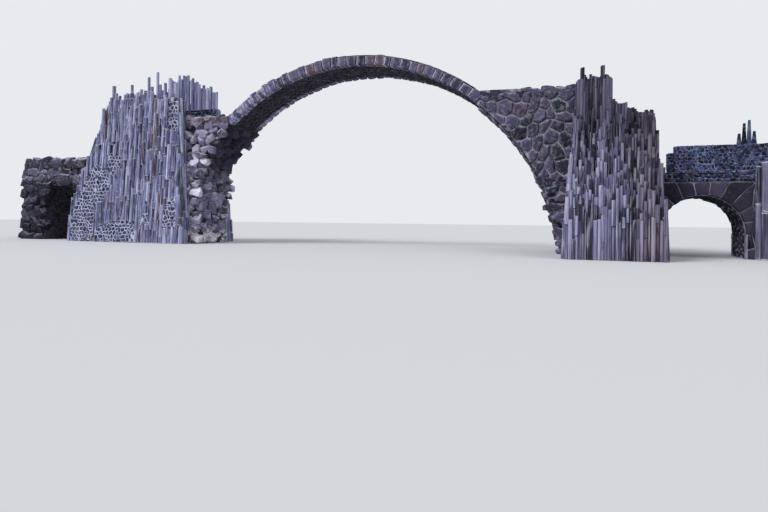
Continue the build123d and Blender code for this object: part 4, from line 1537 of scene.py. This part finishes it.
@dataclass
class LeftCluster:
    """One battered cluster at the left foot, with the palisade of free columns above it."""

    side: Side
    kit: ColumnKit
    outer: float = 13.6
    inner: float = 7.3
    shoulder: Point = (13.45, 1.8)
    top_outer: float = 11.65
    top_inner: float = 7.7
    height: float = 6.25
    depth: float = 0.7
    top_depth: float = 0.26

    CROWN = (
        (-13.66, 0.9), (-13.5, 1.7), (-13.2, 2.35), (-12.8, 3.2), (-12.35, 4.1), (-12.1, 4.8), (-11.95, 5.4),
        (-11.75, 6.0), (-11.5, 6.3), (-9.3, 6.45), (-8.8, 6.15), (-8.2, 6.3), (-7.95, 6.2), (-7.68, 5.3),
        (-7.58, 3.7), (-7.4, 1.9), (-7.25, 0.6),
    )
    TIPS = (
        (-11.47, 7.03), (-11.3, 6.7), (-10.9, 6.62), (-10.73, 6.66), (-10.47, 7.02), (-10.2, 6.55), (-9.97, 6.79),
        (-9.7, 6.7), (-9.52, 7.28), (-9.35, 6.85), (-8.99, 7.45), (-8.85, 6.9), (-8.62, 6.97), (-8.33, 7.15),
        (-8.09, 6.92),
    )
    REAR_TIPS = ((-11.6, 6.8), (-10.4, 7.78), (-9.66, 8.12), (-9.2, 7.82), (-8.7, 7.5), (-7.8, 7.15))
    PATCHES = (
        ((-13.5, 0.03), (-13.41, 1.2), (-12.94, 2.3), (-12.5, 3.2), (-11.9, 3.55), (-11.3, 3.3), (-11.2, 2.4),
         (-11.6, 1.7), (-12.05, 1.5), (-12.1, 0.06)),
        ((-11.5, 3.95), (-10.7, 4.0), (-10.6, 3.4), (-11.1, 2.9), (-11.45, 3.2)),
        ((-12.0, 0.03), (-11.9, 0.75), (-11.1, 0.95), (-10.0, 1.0), (-9.6, 0.65), (-9.7, 0.03)),
        ((-8.25, 0.6), (-8.1, 1.8), (-7.62, 2.0), (-7.5, 1.3), (-7.5, 0.6)),
        ((-9.4, 0.6), (-9.35, 1.25), (-8.95, 1.3), (-8.85, 0.6)),
        ((-8.3, 4.8), (-8.25, 6.1), (-7.75, 6.1), (-7.66, 4.8)),
    )
    HOLES = (
        ((-11.36, 4.08), (-11.34, 4.55), (-11.14, 4.57), (-11.12, 4.1)),
        ((-9.0, 4.0), (-8.95, 4.18), (-8.4, 4.16), (-8.42, 3.98), (-8.6, 3.96), (-8.62, 3.7), (-8.78, 3.7),
         (-8.8, 3.98)),
        ((-9.42, 2.5), (-9.4, 2.92), (-9.12, 2.9), (-9.1, 2.5)),
    )

    def __post_init__(self) -> None:
        """Find its sign in Y, its name, and the patches and gaps of its face."""
        self.y, self.name = self.side.value, "left_" + self.side.label
        front = self.side is Side.FRONT
        self.patches = self.PATCHES if front else (self.PATCHES[0], self.PATCHES[2])
        self.gaps = (*self.PATCHES, *self.HOLES) if front else self.patches

    def lay(self, part: str, places: list[Laid], seed: int, node: str) -> None:
        """Lay columns of the cluster, by the part's name, their places, seed and CAD node."""
        self.kit.lay(f"{self.name}_{part}", places, seed + self.y, LEFT_COLUMNS, f"{self.name}_{node}")

    def long_side(self, proud: float = 0.0) -> FlatFace:
        """The battered long face, or a plane so far before it."""
        batter = self.depth - self.top_depth
        origin = (0, self.y * (HALF_WIDTH + self.depth) + self.y * proud, 0)
        return FlatFace(origin, (1, 0, 0), (0, -self.y * batter, self.height), (0, self.y * self.height, batter))

    def stacks(self) -> None:
        """The stacked columns of the long face."""
        y, face, crown = self.y, self.long_side(), line_through(*self.CROWN)
        places = ColumnScreen(
            face, -13.66, -7.24, crown, gaps=self.gaps, seed=11 + y, unevenness=(-0.12, 0.28),
            widths=(0.08, 0.125), lengths=(0.3, 1.4), proud=(0.02, 0.13), hollows=0.05,
        ).places()
        loose = ColumnScreen(
            face, -13.3, -7.7, crown, lambda place: 0.3 + 3.2 * (math.sin(place * 7.3) ** 2), gaps=self.gaps,
            seed=14 + y, widths=(0.1, 0.15), lengths=(0.5, 1.7), proud=(0.12, 0.2),
        )
        draw = np.random.default_rng(90 + y)
        places += [spot for spot in loose.places() if draw.random() < 0.3]
        self.lay("stacked_columns", places, 21, "face_columns")

    def end_stacks(self) -> None:
        """The stacked columns of the inner and outer ends."""
        places: list[Laid] = []
        legs = (
            ((self.outer, 0.0), self.shoulder, -1),
            (self.shoulder, (self.top_outer, self.height), -1),
            ((self.inner, 0.0), (self.top_inner, self.height), 1),
        )
        depth, batter = HALF_WIDTH + self.depth, self.depth - self.top_depth
        for i, (low, high, out) in enumerate(legs):
            run, climb = low[0] - high[0], high[1] - low[1]
            face = FlatFace((-low[0], 0, low[1]), (0, self.y, 0), (run, 0, climb), (out * climb, 0, -out * run))
            near, far = (depth - batter * z / self.height for z in (high[1], low[1]))
            top = line_through((near, math.hypot(run, climb)), (far, 0.15))
            places += ColumnScreen(
                face, HALF_WIDTH, far, top, seed=31 + 4 * i + self.y, proud=(0.04, 0.09),
                unevenness=(-0.12, 0.02), widths=(0.1, 0.15),
            ).places()
        self.lay("end_stacks", places, 41, "end_columns")

    def pipes(self) -> None:
        """The free columns on top."""
        base, ceiling = self.height - 0.05, CAD_BOX[1].z - 0.01
        draw = np.random.default_rng(51 + self.y)
        tips = self.TIPS
        if self.side is Side.REAR:
            tops = line_through(*self.REAR_TIPS)
            tips = [(x, tops(x) + draw.uniform(-0.25, 0.06)) for x in np.arange(-11.55, -7.75, 0.115)]
        places = []
        for x, tip in tips:
            foot = (x, self.y * (HALF_WIDTH + draw.uniform(0.09, 0.2)), base)
            width, tone = draw.uniform(0.11, 0.145), draw.uniform(0.4, 1)
            places.append(free_column(foot, self.y, min(tip, ceiling), width, tone, 0.3))
        self.lay("free_columns", places, 53, "pipes")

    def honeycombs(self) -> None:
        """The patches where column ends lie in white mortar like a honeycomb."""
        raised = self.long_side(0.055)
        for i, patch in enumerate(self.patches):
            name, outline = f"{self.name}_honeycomb", patch if self.side is Side.FRONT else patch[::-1]
            plate(f"{name}_mortar_{i}", raised, outline, -self.y * 0.05, WHITE_MORTAR, "basalt_columns")
            StoneField(
                f"{name}_{i}", raised, patch, COLUMN_ENDS, "basalt_columns", cell=0.185, joint=0.042,
                relief=0.03, jitter=0.5, lean=0.25, rounds=0, seed=200 + i + self.y,
            ).build()

    def core(self) -> None:
        """Give the core its mortar, and small dark stones where it stands over the stair."""
        dress(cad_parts[self.name + "_core"], CORE_MORTAR)
        outline = [
            (-self.top_inner + 0.03, 5.36), (-9.0, 5.36), (-12.3, 3.12), (-12.85, 3.08), (-self.top_outer, self.height),
            (-self.top_inner, self.height),
        ]
        StoneField(
            self.name + "_stair_side_stones", long_face(self.y * HALF_WIDTH, -self.y), outline, PARAPET_STONES,
            "parapet_rubble", cell=0.2, relief=0.05, joint=0.012, jitter=0.42, lean=0.2, rounds=0,
            seed=240 + self.y,
        ).build()

    def build(self) -> None:
        """Build the cluster's pieces."""
        self.stacks()
        self.end_stacks()
        self.pipes()
        self.honeycombs()
        self.core()


@dataclass
class RightCluster:
    """One stepped bastion at the right foot."""

    side: Side
    kit: ColumnKit
    inner: float = 8.15
    outer: float = 10.85
    lean: float = 0.28
    depth: float = 2.7
    rows: int = 8
    first_top: float = 1.15
    last_top: float = 4.2
    crest_inner: float = 5.75
    crest_step: float = 9.45
    crest_drop: float = 4.95
    crest_outer: float = 4.35
    crest_depth: float = 0.26
    posts: tuple[Point, ...] = ((8.56, 6.15), (9.18, 6.17))

    def __post_init__(self) -> None:
        """Find its sign in Y and its name."""
        self.y, self.name = self.side.value, "right_" + self.side.label

    def lay(self, part: str, places: list[Laid], seed: int) -> None:
        """Lay columns of the cluster, by the part's name, their places and seed."""
        name = f"{self.name}_{part}"
        self.kit.lay(name + "_stacks", places, seed + self.y, RIGHT_COLUMNS, name + "_columns")

    def row_front(self, row: float) -> float:
        """How far a row stands out from the side of the bridge."""
        return self.depth - row * (self.depth - self.crest_depth) / self.rows

    def row_top(self, row: float) -> float:
        """Height of the core behind a row."""
        return self.first_top + row * (self.last_top - self.first_top) / (self.rows - 1)

    def crest_top(self, x: float) -> float:
        """Height of the crest, level near the arch and then falling."""
        if x <= self.crest_step:
            return self.crest_inner
        share = (x - self.crest_step) / (self.outer - self.crest_step)
        return self.crest_drop + (self.crest_outer - self.crest_drop) * share

    def flank_x(self, flank: int, z: float) -> float:
        """X of the inner (-1) or outer (1) flank at a height."""
        shift = self.lean * z / self.crest_inner
        return self.inner + shift if flank < 0 else self.outer - shift

    def flank_top(self, flank: int, place: float) -> float:
        """Top of the inner (-1) or outer (1) flank at a distance from the bridge's middle."""
        reach = place - HALF_WIDTH
        crest = self.crest_inner if flank < 0 else self.crest_outer
        heights = [self.row_top(row) for row in range(self.rows) if reach <= self.row_front(row)]
        return max([crest if reach <= self.crest_depth else 0, *heights, 0])

    def row(self, row: float) -> list[Laid]:
        """The columns of one row; the last row is the crest.

        Args:
            row: the row's number, halves for those between two steps of the core.

        Returns:
            Their places.
        """
        crest = row == self.rows
        low = 0.0 if row == 0 else self.row_top(row - 0.5) - 0.25
        high = self.crest_inner if crest else self.row_top(row)
        return ColumnScreen(
            long_face(self.y * (HALF_WIDTH + self.row_front(row)), self.y), self.flank_x(-1, high) - 0.03,
            self.flank_x(1, high) + 0.02, self.crest_top if crest else level(high), level(low),
            unevenness=(-0.12, 0.2) if row > self.rows - 1.5 else (-0.1, 0.6), widths=(0.07, 0.115),
            lengths=(0.5, 1.8), proud=(0.01, 0.09), hollows=0.06, ends=0.3, files=77 + self.y,
            seed=300 + int(6 * row) + self.y,
        ).places()

    def crest_back(self) -> list[Laid]:
        """The columns behind the crest, over the stair, and the posts that stand above it."""
        places = ColumnScreen(
            long_face(self.y * HALF_WIDTH, -self.y), self.flank_x(-1, self.crest_inner),
            self.flank_x(1, self.crest_outer), self.crest_top, line_through((8.35, 5.4), (10.85, 2.9)),
            seed=380 + self.y, proud=(0.03, 0.08), unevenness=(-0.1, 0.15), widths=(0.1, 0.15),
        ).places()
        middle, base = self.y * (HALF_WIDTH + self.crest_depth / 2), self.crest_inner - 0.3
        return places + [free_column((x, middle, base), self.y, tip, 0.13, 0.2, 0.0) for x, tip in self.posts]

    def flanks(self) -> list[Laid]:
        """The columns on the leaning flanks."""
        places: list[Laid] = []
        for flank in (-1, 1):
            face = FlatFace(
                (self.flank_x(flank, 0), 0, 0), (0, self.y, 0), (-flank * self.lean, 0, self.crest_inner),
                (flank * self.crest_inner, 0, self.lean),
            )
            places += ColumnScreen(
                face, HALF_WIDTH, HALF_WIDTH + self.depth + 0.05, partial(self.flank_top, flank),
                seed=340 + 5 * flank + self.y, proud=(0.04, 0.1), unevenness=(-0.1, 0.12), widths=(0.09, 0.14),
                lengths=(0.45, 1.9),
            ).places()
        return places

    def build(self) -> None:
        """Build the bastion's pieces."""
        half = self.rows // 2
        low, high = (
            [spot for row in np.arange(first, last, 0.5) for spot in self.row(row)]
            for first, last in ((0, half), (half, self.rows + 0.5))
        )
        self.lay("low", low, 320 + half)
        self.lay("high", high + self.crest_back(), 320 + half)
        self.lay("flank", self.flanks(), 360)
        for part in ("core", "crest"):
            dress(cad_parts[f"{self.name}_{part}"], DARK_MORTAR)


# Wings and the way


def lay_flags(
    name: str, surface: FlatFace | ProfileFace, outline: list[Point], cell: float, height: float, seed: int
) -> None:
    """Paving flags on a bed, by the size of their cells and their height over the bed."""
    StoneField(
        name, surface, outline, FLAGS, "paving", cell=cell, relief=height, joint=0.03, lean=0.02, rounds=0, seed=seed
    ).build()


def blocks(
    node: str, name: str, finish: Basalt, slot: str, bevel: float, lumps: float, seed: int, cuts: int = 2,
    gap: float = 0.0,
) -> None:
    """Rough-cut stones from the solids of a CAD node.

    Args:
        node: the CAD node.
        name: the piece's name.
        finish: what the stones are made of.
        slot: the record's material slot.
        bevel: width of the worn edges.
        lumps: how far the faces swell.
        seed: seed of shape and tone.
        cuts: subdivisions of each face.
        gap: how far each stone is cut back for its joints.
    """
    piece = copy_node(node, name)
    points, labels = points_of(piece), islands(piece)
    first, last = limits(labels, points)
    middle = ((first + last) / 2)[labels]
    share = 1 - 2 * gap / np.maximum(last - first, 0.1)
    move_points(piece, middle + (points - middle) * share[labels])
    wear(piece, bevel, cuts)
    roughen(piece, lumps, 0.2, seed)
    move_points(piece, np.clip(points_of(piece), *np.array(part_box(node))))
    tone_islands(piece, seed)
    set_attribute(piece, "rise", np.ones(len(piece.data.vertices)))
    finish_piece(piece, finish, slot, node, angle=45)


@dataclass
class Wing(Masonry):
    """One wing with its side arch: mortar, end, soffit and arch stones."""

    start: float
    end: float
    top: float
    centre: float
    radius: float
    spring: float
    cell: float
    bevel: float

    def __post_init__(self) -> None:
        """Find the feet of the side arch."""
        self.near, self.far = self.centre - self.radius, self.centre + self.radius

    def beds(self) -> None:
        """The mortar behind the facings, from the CAD solids."""
        for part in ("core", "front_facing", "rear_facing"):
            node = f"{self.name}_wing_{part}"
            bed = copy_node(node, node + "_mortar")
            points = points_of(bed)
            outer = np.abs(points[:, 1]) > HALF_WIDTH - 0.01
            points[outer, 1] *= (HALF_WIDTH - BED) / HALF_WIDTH
            far = np.abs(points[:, 0]) > self.end - 0.01
            points[far, 0] -= self.side * BED
            move_points(bed, points)
            finish_piece(bed, self.mortar, "basalt_rubble", node)

    def arc(self, radius: float, steps: int = 14) -> list[Point]:
        """Points round the side arch's head, from its near to its far springing."""
        turns = [math.pi * (1 - i / steps) for i in range(steps + 1)]
        return [(self.centre + radius * math.cos(t), self.spring + radius * math.sin(t)) for t in turns]

    def build(self) -> None:
        """Build the wing's pieces."""
        self.beds()
        for face in Side:
            self.facing(face)
        edge = HALF_WIDTH - BED
        end = FlatFace((self.side * (self.end - BED), 0, 0), (0, 1, 0), (0, 0, 1), (self.side, 0, 0))
        self.stones(
            "wing_end_stones", end, rectangle(-edge, 0, edge, self.top), 4, cell=self.cell, relief=BED - 0.002
        )
        line = [(self.near, 0), *self.arc(self.radius), (self.far, 0)]
        soffit = ProfileFace(flip(self.side, line), self.side)
        outline = soffit.strip(HALF_WIDTH - 0.32)
        # Painted shade: the side arch's soffit stones are nearly black
        self.stones("side_arch_soffit", soffit, outline, 5, SOFFIT_STONES, cell=0.3, relief=0.05)
        blocks(
            f"{self.name}_wing_arch_stones", f"{self.name}_side_voussoirs", self.finish, "basalt_rubble",
            self.bevel, 0.034, self.seed + 6, gap=0.012,
        )


class RockyWing(Wing):
    """A wing heaped with rocks."""

    EDGE_PLACE = 0.92
    EDGE_TOP = 3.85

    def facing(self, face: Side) -> None:
        """The rocks of one long face and along its upper edge.

        Args:
            face: the face of the bridge.
        """
        y, end, rim = face.value, self.end - 0.1, self.top + 0.1
        mouth = [(self.near - 0.1, 0), *self.arc(self.radius + 0.14), (self.far + 0.1, 0)]
        whole = flip(self.side, [(self.start, 0), *mouth, (end, 0), (end, rim), (self.start, rim)])
        self.rocks(f"wing_{face.label}_rocks", long_face(y * (HALF_WIDTH - BED), y), whole, WING_ROCKS, y)
        edge = flip(self.side, rectangle(self.start, rim, self.end, self.EDGE_TOP))
        self.rocks(f"wing_{face.label}_edge_rocks", long_face(y * self.EDGE_PLACE, y), edge, EDGE_ROCKS, 10 + y)


@dataclass
class CoursedWing(Wing):
    """A wing of coursed blocks under small dark stones, with mortared arch stones."""

    ring: float
    split: float
    arch_stones: int
    level_stones: int

    def head(self) -> list[Point]:
        """The outer ends of the arch stones' joints, from the near to the far springing."""
        line = []
        for i in range(self.arch_stones, -1, -1):
            turn = math.pi * i / self.arch_stones
            upright = abs(i - self.arch_stones / 2) <= self.level_stones / 2
            reach = (self.radius + self.ring) / (math.sin(turn) if upright else 1)
            line.append((self.centre + reach * math.cos(turn), self.spring + reach * math.sin(turn)))
        return line

    def facing(self, face: Side) -> None:
        """The stones of one long face and the mortar between its arch stones.

        Args:
            face: the face of the bridge.
        """
        y, head = face.value, self.head()
        surface = long_face(y * (HALF_WIDTH - BED), y)
        near = [p for p in head if p[0] <= self.centre and p[1] < self.split]
        far = [p for p in head if p[0] > self.centre and p[1] < self.split]
        near = [(self.start, 0), (self.near, 0), (self.near, self.spring), *near, (self.start, self.split)]
        far = [(self.far, 0), (self.end, 0), (self.end, self.split), *far, (self.far, self.spring)]
        for part, cell, outline in (("near_stones", self.cell * 0.6, near), ("stones", self.cell, far)):
            self.stones(
                f"wing_{face.label}_{part}", surface, flip(self.side, outline), y, cell=cell, relief=0.06,
                joint=0.02, lean=0.15, coursed=0.9, rounds=0, corner=0.06, shoulder=0.1,
            )
        rim = self.top + 0.08
        upper = [(self.start, self.split), *[p for p in head if p[1] > self.split], (self.end, self.split)]
        upper += [(self.end, rim), (self.start, rim)]
        self.stones(
            f"wing_{face.label}_upper_stones", surface, flip(self.side, upper), 8 + y, PARAPET_STONES,
            "parapet_rubble", cell=0.15, relief=0.078, joint=0.014, jitter=0.42, lean=0.2, rounds=0,
        )
        joints = flip(self.side, [*head, *reversed(self.arc(self.radius + 0.03, self.arch_stones))])
        name = f"{self.name}_{face.label}_arch_joints"
        plate(name, long_face(y * (HALF_WIDTH - 0.06), y), joints, -y * 0.25, self.mortar, "ring_stone")


@dataclass
class RightParapets:
    """The parapets of small dark stones on the right wing, their spires and the end columns."""

    kit: ColumnKit
    near: float = 11.29
    far: float = 17.5
    low: float = 2.63
    high: float = 3.5
    thickness: float = 0.35
    thinned: float = 0.86
    columns_start: float = 13.5
    columns_end: float = 15.5
    columns_top: float = 2.9
    blunt: float = 0.5

    def walls(self) -> None:
        """The small stones of the parapets' faces and tops."""
        top, end = self.high - 0.025, self.far - 0.03
        place = HALF_WIDTH - self.thickness / 2
        bed = copy_node("right_parapets", "right_parapet_mortar")
        points = points_of(bed)
        middle = np.sign(points[:, 1]) * place
        points[:, 1] = middle + (points[:, 1] - middle) * self.thinned
        points[:, 2] = np.where(points[:, 2] > self.high - 0.01, top, points[:, 2])
        points[:, 0] = np.clip(points[:, 0], self.near + 0.02, self.far - 0.025)
        move_points(bed, points)
        finish_piece(bed, BLUE_MORTAR, "parapet_rubble", "right_parapets")
        half = self.thickness / 2 * self.thinned
        seed = 500
        for face in Side:
            middle, name = face.value * place, "right_parapet_" + face.label
            for out in Side:
                seed += 1
                StoneField(
                    f"{name}_{out.label}_face", long_face(middle + out.value * half, out.value),
                    rectangle(self.near, self.low, end, self.high), PARAPET_STONES, "parapet_rubble", cell=0.125,
                    relief=0.024, joint=0.013, jitter=0.45, lean=0.3, rounds=0, seed=seed,
                ).build()
            seed += 1
            StoneField(
                name + "_coping", level_face(middle, top), rectangle(self.near, -half, end, half),
                PARAPET_STONES, "parapet_rubble", cell=0.2, relief=0.024, joint=0.02, rounds=0, seed=seed,
            ).build()

    def columns(self) -> None:
        """The columns before the far end."""
        places: list[Laid] = []
        for face in Side:
            places += ColumnScreen(
                long_face(face.value * HALF_WIDTH, face.value), self.columns_start, self.columns_end,
                level(self.columns_top), widths=(0.13, 0.2), seed=520 + face.value, unevenness=(-0.1, 0.3),
                lengths=(0.9, 2.4),
            ).places()
        self.kit.lay("right_end_stacks", places, 525, END_COLUMNS, "right_end_columns")

    def spires(self) -> None:
        """The pointed columns on the parapet, with blunted tips."""
        spires = copy_node("right_spires", "right_spire_stones")
        points = points_of(spires)
        labels = islands(spires)
        for label in range(labels.max() + 1):
            own = labels == label
            foot = own & (points[:, 2] < points[own, 2].min() + 0.01)
            tip = own & (points[:, 2] > points[own, 2].max() - 0.01)
            wide, narrow = (np.ptp(points[part, 0]) for part in (foot, tip))
            middle = points[tip, :2].mean(0)
            points[tip, :2] = middle + (points[tip, :2] - middle) * self.blunt * wide / narrow
        move_points(spires, points)
        tone_islands(spires, 530)
        set_attribute(spires, "rise", np.ones(len(points)))
        finish_piece(spires, PARAPET_STONES, "basalt_columns", "right_spires")

    def build(self) -> None:
        """Build the parapets."""
        self.walls()
        self.columns()
        self.spires()


@dataclass
class Way:
    """The stair and level paving of one side."""

    side: str
    steps_seed: int
    flags_seed: int
    flag_cell: float = 0.34
    flag_height: float = 0.024
    margin: float = 0.01

    def landings(self) -> None:
        """The level paving: flags on beds of mortar."""
        node = self.side + "_paving"
        bed = copy_node(node, node + "_bed")
        points, labels = points_of(bed), islands(bed)
        for label in range(labels.max() + 1):
            own = labels == label
            right, rear, z = points[own].max(0)
            top = own & (points[:, 2] > z - 0.001)
            left, front, _ = points[top].min(0)
            points[top, 2] -= self.flag_height
            edge = self.margin
            outline = rectangle(left + edge, front + edge, right - edge, rear - edge)
            lay_flags(
                f"{self.side}_flags_{label}", level_face(0, z - self.flag_height), outline, self.flag_cell,
                self.flag_height - 0.004, self.flags_seed + label,
            )
        move_points(bed, points)
        finish_piece(bed, DARK_MORTAR, "paving", node)

    def build(self) -> None:
        """Build the steps and the paving."""
        blocks(self.side + "_stair", self.side + "_steps", FLAGS, "paving", 0.018, 0.01, self.steps_seed, 1)
        self.landings()


# Studio


@dataclass
class Studio:
    """A pale floor and backdrop with plain soft light."""

    floor_size: float = 600
    floor_level: float = -0.004
    floor_colour: Triple = (0.72, 0.73, 0.75)
    sky_colour: Triple = (0.9, 0.92, 0.95)
    light_strength: float = 0.5
    seen_strength: float = 0.9
    key_strength: float = 1.9
    fill_strength: float = 0.5

    def floor(self) -> None:
        """The floor."""
        place = (0, 0, self.floor_level)
        floor = add(bpy.ops.mesh.primitive_plane_add, "studio_floor", size=self.floor_size, location=place)
        graph = Graph("studio_floor_finish")
        cloud = graph.noise(0.05, 2)
        colour = graph.mix(cloud * 0.06, self.floor_colour, (0.66, 0.67, 0.7))
        floor.data.materials.append(graph.finish(colour, 0.9, cloud, 0.02, 0.01))

    def sky(self) -> None:
        """The backdrop and the soft light from all round."""
        world = bpy.data.worlds.new("studio_sky")
        bpy.context.scene.world = world
        world.use_nodes = True
        tree = world.node_tree
        light, seen = tree.nodes["Background"], tree.nodes.new("ShaderNodeBackground")
        for node, strength in ((light, self.light_strength), (seen, self.seen_strength)):
            node.inputs["Color"].default_value = (*self.sky_colour, 1)
            node.inputs["Strength"].default_value = strength
        path, mix = tree.nodes.new("ShaderNodeLightPath"), tree.nodes.new("ShaderNodeMixShader")
        sources = (path.outputs["Is Camera Ray"], light.outputs[0], seen.outputs[0])
        for source, target in zip(sources, mix.inputs):
            tree.links.new(source, target)
        tree.links.new(mix.outputs[0], tree.nodes["World Output"].inputs[0])

    def lamp(self, name: str, strength: float, turn: Triple, softness: float) -> None:
        """A large soft lamp.

        Args:
            name: its name.
            strength: its strength.
            turn: its rotation in degrees.
            softness: its angle in degrees.
        """
        lamp = bpy.data.lights.new(name, "SUN")
        lamp.energy = strength
        lamp.angle = math.radians(softness)
        holder = bpy.data.objects.new(name, lamp)
        holder.rotation_euler = [math.radians(t) for t in turn]
        bpy.context.collection.objects.link(holder)

    def build(self) -> None:
        """Set up floor, sky and lamps."""
        self.floor()
        self.sky()
        self.lamp("key_light", self.key_strength, (52, 0, -38), 25)
        self.lamp("fill_light", self.fill_strength, (48, 0, 60), 40)
        bpy.context.scene.view_settings.view_transform = "Standard"


@dataclass
class PhotoCamera:
    """The camera at the photograph's place and angle."""

    place: Triple = (9.025, -20.83, 1.017)
    turn: float = 0.36
    roll: float = 0.011
    focal: float = 563.0
    horizon: float = 221.85
    size: tuple[int, int] = (768, 512)

    def build(self) -> None:
        """Make the camera and look through it."""
        data = bpy.data.cameras.new("photo_camera")
        data.sensor_width = 36
        data.lens = self.focal * 36 / self.size[0]
        data.shift_y = (self.horizon - self.size[1] / 2) / self.size[0]
        data.clip_end = 500
        camera = bpy.data.objects.new("photo_camera", data)
        bpy.context.collection.objects.link(camera)
        ahead = Vector((-math.sin(self.turn), math.cos(self.turn), 0))
        level_right = Vector((math.cos(self.turn), math.sin(self.turn), 0))
        upright = Vector((0, 0, 1))
        right = level_right * math.cos(self.roll) + upright * math.sin(self.roll)
        up = upright * math.cos(self.roll) - level_right * math.sin(self.roll)
        axes = Matrix((right, up, -ahead)).transposed().to_4x4()
        camera.matrix_world = Matrix.Translation(self.place) @ axes
        bpy.context.scene.camera = camera


def main() -> None:
    """Build the bridge's pieces in order, the studio and the camera."""
    logging.basicConfig(level=logging.INFO, format="%(message)s")
    columns, rocks = ColumnKit(), RockKit()
    Arch().build()
    RockyPier(
        "left_pier", -1, PIER_STONES, DARK_MORTAR, 40, rocks, node="left_abutment", deck=5.33, outer=7.9,
        batter=((6.9, 0.0), (7.15, 0.9)), arch_foot=3.4, sunk=0.12,
    ).build()
    RubblePier(
        "right_pier", 1, RIGHT_STONES, PALE_MORTAR, 54, rocks, node="right_abutment", deck=5.57, outer=8.6,
        courses=2.45,
    ).build()
    for cluster in (LeftCluster, RightCluster):
        for side in Side:
            cluster(side, columns).build()
    RockyWing(
        "left", -1, BOULDERS, DARK_MORTAR, 420, rocks, start=13.35, end=17.5, top=2.95, centre=14.85,
        radius=1.12, spring=1.54, cell=0.5, bevel=0.06,
    ).build()
    CoursedWing(
        "right", 1, WING_BLOCKS, PALE_MORTAR, 440, rocks, start=10.45, end=17.5, top=2.6, centre=12.1,
        radius=1.2, spring=0.75, cell=0.45, bevel=0.03, ring=0.4, split=2.36, arch_stones=11, level_stones=5,
    ).build()
    blocks("left_boulders", "left_boulder_row", BOULDERS, "boulder", 0.12, 0.07, 470, 3)
    RightParapets(columns).build()
    Way("left", 604, 610).build()
    Way("right", 605, 620).build()
    Studio().build()
    PhotoCamera().build()


if __name__ == "__main__":
    main()
